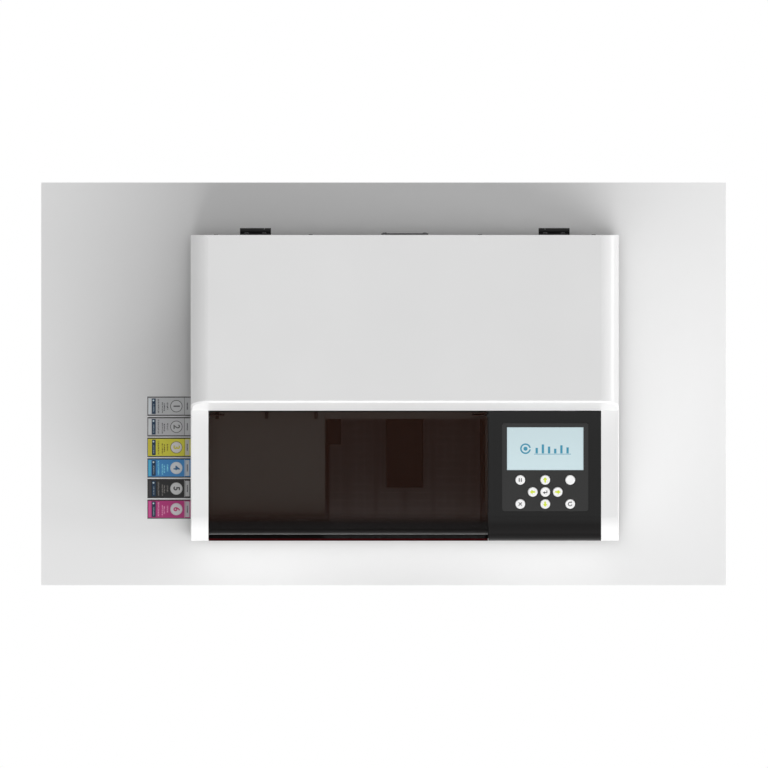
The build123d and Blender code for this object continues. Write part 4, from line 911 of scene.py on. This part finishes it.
class PRINTER_OT_carriage(bpy.types.Operator):
    """Finishes the cartridge bay, the carriage, its head and its lamp"""

    bl_idname = "printer.carriage"
    bl_label = "Carriage"

    def execute(self, context):
        brown = moulded(
            "carriage_brown", (0.012, 0.009, 0.008), 0.5, 1400, 0.02 * MM, Specular_IOR_Level=0.08
        )
        brown.paint("carriage_frame", "idler_bracket")
        black = moulded("black_plastic", (0.045, 0.045, 0.045), 0.5, 1400, 0.03 * MM)
        black.paint("cartridge_bay", "cap_station", "fan_frame", "fan_rotor", "power_inlet")
        head = milled("head_steel", (0.55, 0.56, 0.58), 0.35, (1, 0.05, 1))
        head.paint("print_head", "carriage_block")
        self.lamp()
        return {"FINISHED"}

    def lamp(self):
        """Dark housing with a violet glass at its foot."""
        finish = Finish("lamp_housing", Metallic=0.9)
        height = finish.axes()[2]
        foot = span("uv_lamp", UP)[0]
        glass = band(height, foot - 1 * MM, foot + 1.5 * MM, 0.3 * MM)
        finish.set("Base Color", finish.mix(glass, (0.06, 0.06, 0.065), (0.25, 0.12, 0.6)))
        finish.set("Roughness", finish.noise(120, 3) * 0.15 + 0.3)
        finish.bump(finish.noise(900, 2), 0.02 * MM)
        finish.paint("uv_lamp")


class PRINTER_OT_drive(bpy.types.Operator):
    """Finishes the motors, rails and pulleys, and makes the toothed belt"""

    bl_idname = "printer.drive"
    bl_label = "Drive"

    def execute(self, context):
        milled("ground_steel", (0.62, 0.63, 0.65), 0.25, (0.04, 1, 1)).paint("x_rail")
        rails = milled("rail_steel", (0.42, 0.43, 0.45), 0.3, (1, 0.04, 1))
        rails.paint("table_rails", "table_guide_blocks")
        milled("blackened_post", (0.11, 0.11, 0.115), 0.3, (1, 1, 0.04)).paint("lift_posts")
        pulleys = milled("machined_aluminium", (0.78, 0.79, 0.8), 0.38, (1, 1, 0.1))
        pulleys.paint("x_drive_pulley", "x_idler_pulley")
        milled("grey_anodised", (0.16, 0.16, 0.165), 0.42, (1, 0.06, 1)).paint("lift_platform")
        for node, axis in (("x_motor", 2), ("lift_motor", 2), ("table_motor", 1)):
            self.motor(node, axis)
        self.belt(context.scene.printer_sizes)
        return {"FINISHED"}

    def motor(self, node, axis):
        """Black laminations between two bare end plates."""
        finish = Finish(f"{node}_lacquer")
        along = finish.axes()[axis]
        low = span(node, (BACK, UP)[axis - 1])[0]
        lacquer = band(along, low + LAMINATIONS[0], low + LAMINATIONS[1])
        finish.set("Base Color", finish.mix(lacquer, (0.6, 0.61, 0.62), (0.03, 0.03, 0.033)))
        finish.set("Metallic", 1 - lacquer)
        finish.set("Roughness", finish.noise(80, 3) * 0.2 + 0.3)
        grooves = band((along / LAMINATION_PITCH).part(), 0.1, 0.9, 0.1)
        finish.bump(grooves * lacquer, 0.03 * MM)
        finish.paint(node)

    def belt(self, sizes):
        """Runs from the idler's centre to the drive pulley's, as thick and wide as its node."""
        first = face_centre("x_idler_pulley", RIGHT, BACK)
        last = face_centre("x_drive_pulley", RIGHT, BACK)
        outside = extent("x_belt", BACK) / 2
        belt = toothed_belt(
            (last - first).length,
            outside,
            outside - sizes.belt_thickness,
            extent("x_belt", UP),
            sizes.belt_pitch,
            sizes.tooth_depth,
        )
        rubber = moulded("belt_rubber", (0.045, 0.045, 0.045), 0.75, 2600, 0.02 * MM).material
        middle = Vector((first.x, first.y, np.mean(span("x_belt", UP))))
        parts = [placed(belt, middle, RIGHT, BACK)]
        piece("toothed_belt", parts, rubber, "chassis", ["x_belt"])


class PRINTER_OT_lead_screws(bpy.types.Operator):
    """Cuts the threads of the lift's and the table's lead screws"""

    bl_idname = "printer.lead_screws"
    bl_label = "Lead screws"

    def execute(self, context):
        sizes = context.scene.printer_sizes
        steel = milled("screw_steel", (0.6, 0.61, 0.63), 0.25).material
        for node, body, lead, right, up in (
            ("lift_screw", "lift_spindle", 8 * MM, RIGHT, BACK),
            ("table_screw", "table_spindle", 10 * MM, RIGHT, UP),
        ):
            out = right.cross(up)
            long = extent(node, out)
            radius = extent(node, right) / 2
            thread = threaded(long, radius, lead, sizes.thread_depth, sizes.thread_starts)
            foot = face_centre(node, right, up) - out * long
            parts = [placed(thread, foot, right, up)]
            piece(node.replace("screw", "thread"), parts, steel, body, [node])
        return {"FINISHED"}


class PRINTER_OT_bed(bpy.types.Operator):
    """Mills the print bed and engraves its grid and edge scale"""

    bl_idname = "printer.bed"
    bl_label = "Bed"

    def execute(self, context):
        finish = Finish("bed_anodised", Specular_IOR_Level=0.3)
        x, y, z = finish.axes()
        centre = face_centre("print_bed", RIGHT, BACK)
        right = span("print_bed", RIGHT)[1]
        on_top = band(z, centre.z - 0.2 * MM, centre.z + 1 * MM)
        grid = self.lines(x - centre.x, BED_GRID).most(self.lines(y - centre.y, BED_GRID))
        scale = self.lines(y - centre.y, BED_SCALE) * band(x, right - BED_SCALE_WIDTH, right)
        engraved = grid.most(scale) * on_top
        marks = finish.noise(700, 3, (1, 0.06, 1))
        tint = finish.mix(marks, (0.08, 0.076, 0.074), (0.105, 0.1, 0.098))
        finish.set("Base Color", finish.mix(engraved * 0.5, tint, (0.3, 0.3, 0.3)))
        finish.set("Roughness", marks * 0.12 + engraved * 0.3 + 0.28)
        finish.bump(marks * 0.3 + (1 - engraved), 0.02 * MM)
        finish.paint("print_bed")
        return {"FINISHED"}

    def lines(self, value, pitch):
        """Thin lines at every whole number of pitches."""
        half = BED_LINE / pitch
        return band((value / pitch + 0.5).part(), 0.5 - half, 0.5 + half, half / 2)


class PRINTER_OT_electrics(bpy.types.Operator):
    """Finishes the boards, the supply, the fan's grille and the power switch"""

    bl_idname = "printer.electrics"
    bl_label = "Electrics"

    def execute(self, context):
        self.supply()
        # A dark grey coat, made darker still as painted shade for the shade under the hood's rear
        coated("grille_coat_and_shade", (0.12, 0.12, 0.122)).paint("fan_grille")
        self.board("main_board", MAIN_BOARD_PARTS)
        self.board("keypad_board", FAR)
        self.rocker()
        return {"FINISHED"}

    def supply(self):
        """Zinc plated cover with rows of round vents along its top, painted as dark discs of shade.
        """
        finish = Finish("grey_sheet")
        x, y, z = finish.axes()
        middle = face_centre("power_supply", RIGHT, BACK)
        across = (x - middle.x) / VENT_PITCH
        along = (y - middle.y) / VENT_PITCH
        # Whole vents from the middle to each edge, less one as a margin
        wide, long = [
            int(extent("power_supply", axis) / VENT_PITCH / 2) - 1 for axis in (RIGHT, BACK)
        ]
        field = area(across, along, (-wide, wide), (-long, long))
        cell = distance(across.part(), along.part(), (0.5, 0.5))
        top = band(z, middle.z - 0.5 * MM, middle.z + 1 * MM)
        # Painted shade: a dark disc for the shaded inside of each vent
        vent_shade = band(cell, -FAR, VENT_HOLE, 0.02) * field * top
        marks = finish.noise(900, 3)
        tint = finish.mix(marks, (0.46, 0.47, 0.48), (0.55, 0.56, 0.57))
        finish.set("Base Color", finish.mix(vent_shade, tint, (0.012, 0.012, 0.013)))
        finish.set("Metallic", 1 - vent_shade)
        finish.set("Roughness", marks * 0.12 + 0.38)
        finish.bump(1 - vent_shade, 0.2 * MM)
        finish.paint("power_supply")

    def board(self, node, parts_rise):
        """Solder mask with tracks, dark parts above it, and bare metal sockets at the rear."""
        finish = Finish(f"{node}_mask")
        _, y, z = finish.axes()
        tracks = band((finish.noise(240, 0) * 9).part(), 0.35, 0.65, 0.08)
        high = span(node, UP)[0] + parts_rise
        parts = band(z, high, high + FAR)
        sockets = band(y, span(node, BACK)[1] - SOCKET_DEPTH, FAR) * parts
        tint = finish.mix(tracks * 0.6, (0.02, 0.16, 0.07), (0.06, 0.32, 0.14))
        tint = finish.mix(parts, tint, (0.02, 0.02, 0.022))
        finish.set("Base Color", finish.mix(sockets, tint, (0.7, 0.7, 0.72)))
        finish.set("Metallic", sockets)
        finish.set("Roughness", finish.noise(200, 3) * 0.15 + 0.3)
        finish.bump(tracks * (1 - parts), 0.03 * MM)
        finish.paint(node)

    def rocker(self):
        """Two white marks on the key: a stroke for on above a ring for off."""
        finish = Finish("rocker_black")
        x, y, z = finish.axes()
        centre = face_centre("power_rocker", -RIGHT, UP)
        across = x - centre.x
        up = z - centre.z
        stroke = area(across, up, (-0.35 * MM, 0.35 * MM), (2.8 * MM, 6.6 * MM))
        ring = band(distance(across, up, (0, -4.7 * MM)), 1.4 * MM, 2.1 * MM)
        marks = stroke.most(ring) * band(y, centre.y - 3 * MM, FAR)
        finish.set("Base Color", finish.mix(marks, (0.03, 0.03, 0.03), (0.75, 0.75, 0.75)))
        finish.set("Roughness", finish.noise(120, 3) * 0.1 + 0.3)
        finish.bump(finish.noise(1500, 2), 0.01 * MM)
        finish.paint("power_rocker")


class PRINTER_OT_fasteners(bpy.types.Operator):
    """Puts hexagon socket screws on the rear panel, the grille and the hood's hinges"""

    bl_idname = "printer.fasteners"
    bl_label = "Fasteners"

    def execute(self, context):
        steel = milled("blackened_steel", (0.06, 0.06, 0.062), 0.4).material
        back = span("rear_panel", BACK)[1]
        left, right = span("rear_panel", RIGHT)
        spots = [(x, z) for x in (left + EDGE_INSET, right - EDGE_INSET) for z in EDGE_SCREWS]
        spots += [(x, FOOT_SCREW_RISE) for x in FOOT_SCREWS]
        self.heads("casing_screws", spots, back, steel, "chassis")
        grille = face_centre("fan_grille", -RIGHT, UP)
        steps = (-GRILLE_SCREWS, GRILLE_SCREWS)
        spots = [(grille.x + across, grille.z + up) for across in steps for up in steps]
        self.heads("grille_screws", spots, grille.y, steel, "chassis")
        left, right = span("hood_hinge_barrels", RIGHT)
        hinges = (left + HINGE_MIDDLE, right - HINGE_MIDDLE)
        barrels = span("hood_hinge_barrels", UP)[0] + HINGE_SCREW_INSET
        knuckles = span("hood_hinge_knuckles", UP)[1] - HINGE_SCREW_INSET
        for name, height, body in (
            ("barrel_screws", barrels, "chassis"),
            ("knuckle_screws", knuckles, "hood_lid"),
        ):
            spots = [(x + step, height) for x in hinges for step in (-HINGE_SCREWS, HINGE_SCREWS)]
            self.heads(name, spots, back + HINGE_PLATE, steel, body)
        return {"FINISHED"}

    def heads(self, name, spots, back, steel, body):
        """Turned button heads whose recess is a hexagon."""
        head = turned(np.array(SCREW_HEAD) * [MM, MM, 1], SCREW_SIDES)
        parts = [placed(head, Vector((x, back, z)), -RIGHT, UP) for x, z in spots]
        piece(name, parts, steel, body)


class PRINTER_OT_stage(bpy.types.Operator):
    """Lays the floor and sets the world, the lamps and the camera"""

    bl_idname = "printer.stage"
    bl_label = "Stage"

    def execute(self, context):
        scene = context.scene
        sizes = scene.printer_sizes
        scene.view_settings.view_transform = "Standard"
        self.floor(scene)
        self.sky(scene)
        self.lamp(scene, "key", sizes.lamp_strength, sizes.lamp_angle, KEY_LIGHT)
        self.lamp(scene, "side", sizes.side_strength, sizes.side_angle, SIDE_LIGHT)
        self.camera(scene)
        return {"FINISHED"}

    def floor(self, scene):
        """One square face, seen from above."""
        corners = [[(-1, -1, 0), (1, -1, 0)], [(-1, 1, 0), (1, 1, 0)]]
        points, faces = surface(np.array(corners, dtype=float) * FLOOR_REACH)
        mesh = bpy.data.meshes.new("floor")
        mesh.from_pydata(points, [], faces)
        mesh.materials.append(self.floor_paper())
        floor = bpy.data.objects.new("floor", mesh)
        scene.collection.objects.link(floor)

    def floor_paper(self):
        """Pale grey paper that gives way to white at its edges."""
        finish = Finish("floor_paper", Roughness=0.9, Specular_IOR_Level=0.0)
        x, y, _ = finish.axes()
        tone = finish.mix(finish.noise(3), (0.86, 0.86, 0.86), (0.88, 0.88, 0.88))
        finish.set("Base Color", tone)
        beyond = 1 - area(x, y, *FLOOR_GREY, 0.8 * MM)
        glow = finish.node("ShaderNodeEmission", {}, {"Color": (1, 1, 1), "Strength": 1.0})
        shown = beyond * finish.white_for_the_eye()
        paper = Value(finish, finish.shader.outputs["BSDF"])
        mixed = finish.node("ShaderNodeMixShader", {}, [shown, paper, glow])
        output = finish.tree.nodes["Material Output"]
        finish.feed(output.inputs["Surface"], mixed)
        return finish.material

    def sky(self, scene):
        """White to look at, and dimmer as light."""
        scene.world = bpy.data.worlds.new("studio")
        scene.world.use_nodes = True
        sky = Nodes(scene.world.node_tree)
        background = sky.tree.nodes["Background"]
        sky.feed(background.inputs["Color"], (1, 1, 1))
        ambient = scene.printer_sizes.ambient
        sky.feed(background.inputs["Strength"], sky.white_for_the_eye() * (1 - ambient) + ambient)

    def lamp(self, scene, name, energy, angle, direction):
        """A light from far away. The wider its angle, the softer its shadows."""
        light = bpy.data.lights.new(name, "SUN")
        light.energy = energy
        light.angle = angle
        lamp = bpy.data.objects.new(name, light)
        lamp.rotation_euler = Vector(direction).to_track_quat("Z", "Y").to_euler()
        scene.collection.objects.link(lamp)

    def camera(self, scene):
        """Straight down, without perspective."""
        lens = bpy.data.cameras.new("camera")
        lens.type = "ORTHO"
        lens.ortho_scale = CAMERA_SPAN
        camera = bpy.data.objects.new("camera", lens)
        camera.location = CAMERA_PLACE
        scene.collection.objects.link(camera)
        scene.camera = camera


STEPS = (
    PRINTER_OT_casing,
    PRINTER_OT_window,
    PRINTER_OT_control_panel,
    PRINTER_OT_keys,
    PRINTER_OT_cartridges,
    PRINTER_OT_carriage,
    PRINTER_OT_drive,
    PRINTER_OT_lead_screws,
    PRINTER_OT_bed,
    PRINTER_OT_electrics,
    PRINTER_OT_fasteners,
    PRINTER_OT_stage,
)


class PRINTER_PT_steps(bpy.types.Panel):
    """Lists the steps in order, with their colours and sizes"""

    bl_label = "Printer"
    bl_space_type = "VIEW_3D"
    bl_region_type = "UI"
    bl_category = "Printer"

    def draw(self, context):
        for step in STEPS:
            self.layout.operator(step.bl_idname)
        for group in (context.scene.printer_colours, context.scene.printer_sizes):
            for name in group.__annotations__:
                self.layout.prop(group, name)


CLASSES = (PrinterColours, PrinterSizes, *STEPS, PRINTER_PT_steps)


def register():
    for added in CLASSES:
        bpy.utils.register_class(added)
    bpy.types.Scene.printer_colours = PointerProperty(type=PrinterColours)
    bpy.types.Scene.printer_sizes = PointerProperty(type=PrinterSizes)


def unregister():
    del bpy.types.Scene.printer_sizes
    del bpy.types.Scene.printer_colours
    for added in reversed(CLASSES):
        bpy.utils.unregister_class(added)


def main():
    """Runs every step in order."""
    register()
    for step in STEPS:
        getattr(bpy.ops.printer, step.bl_idname.split(".")[1])()


if __name__ == "__main__":
    main()
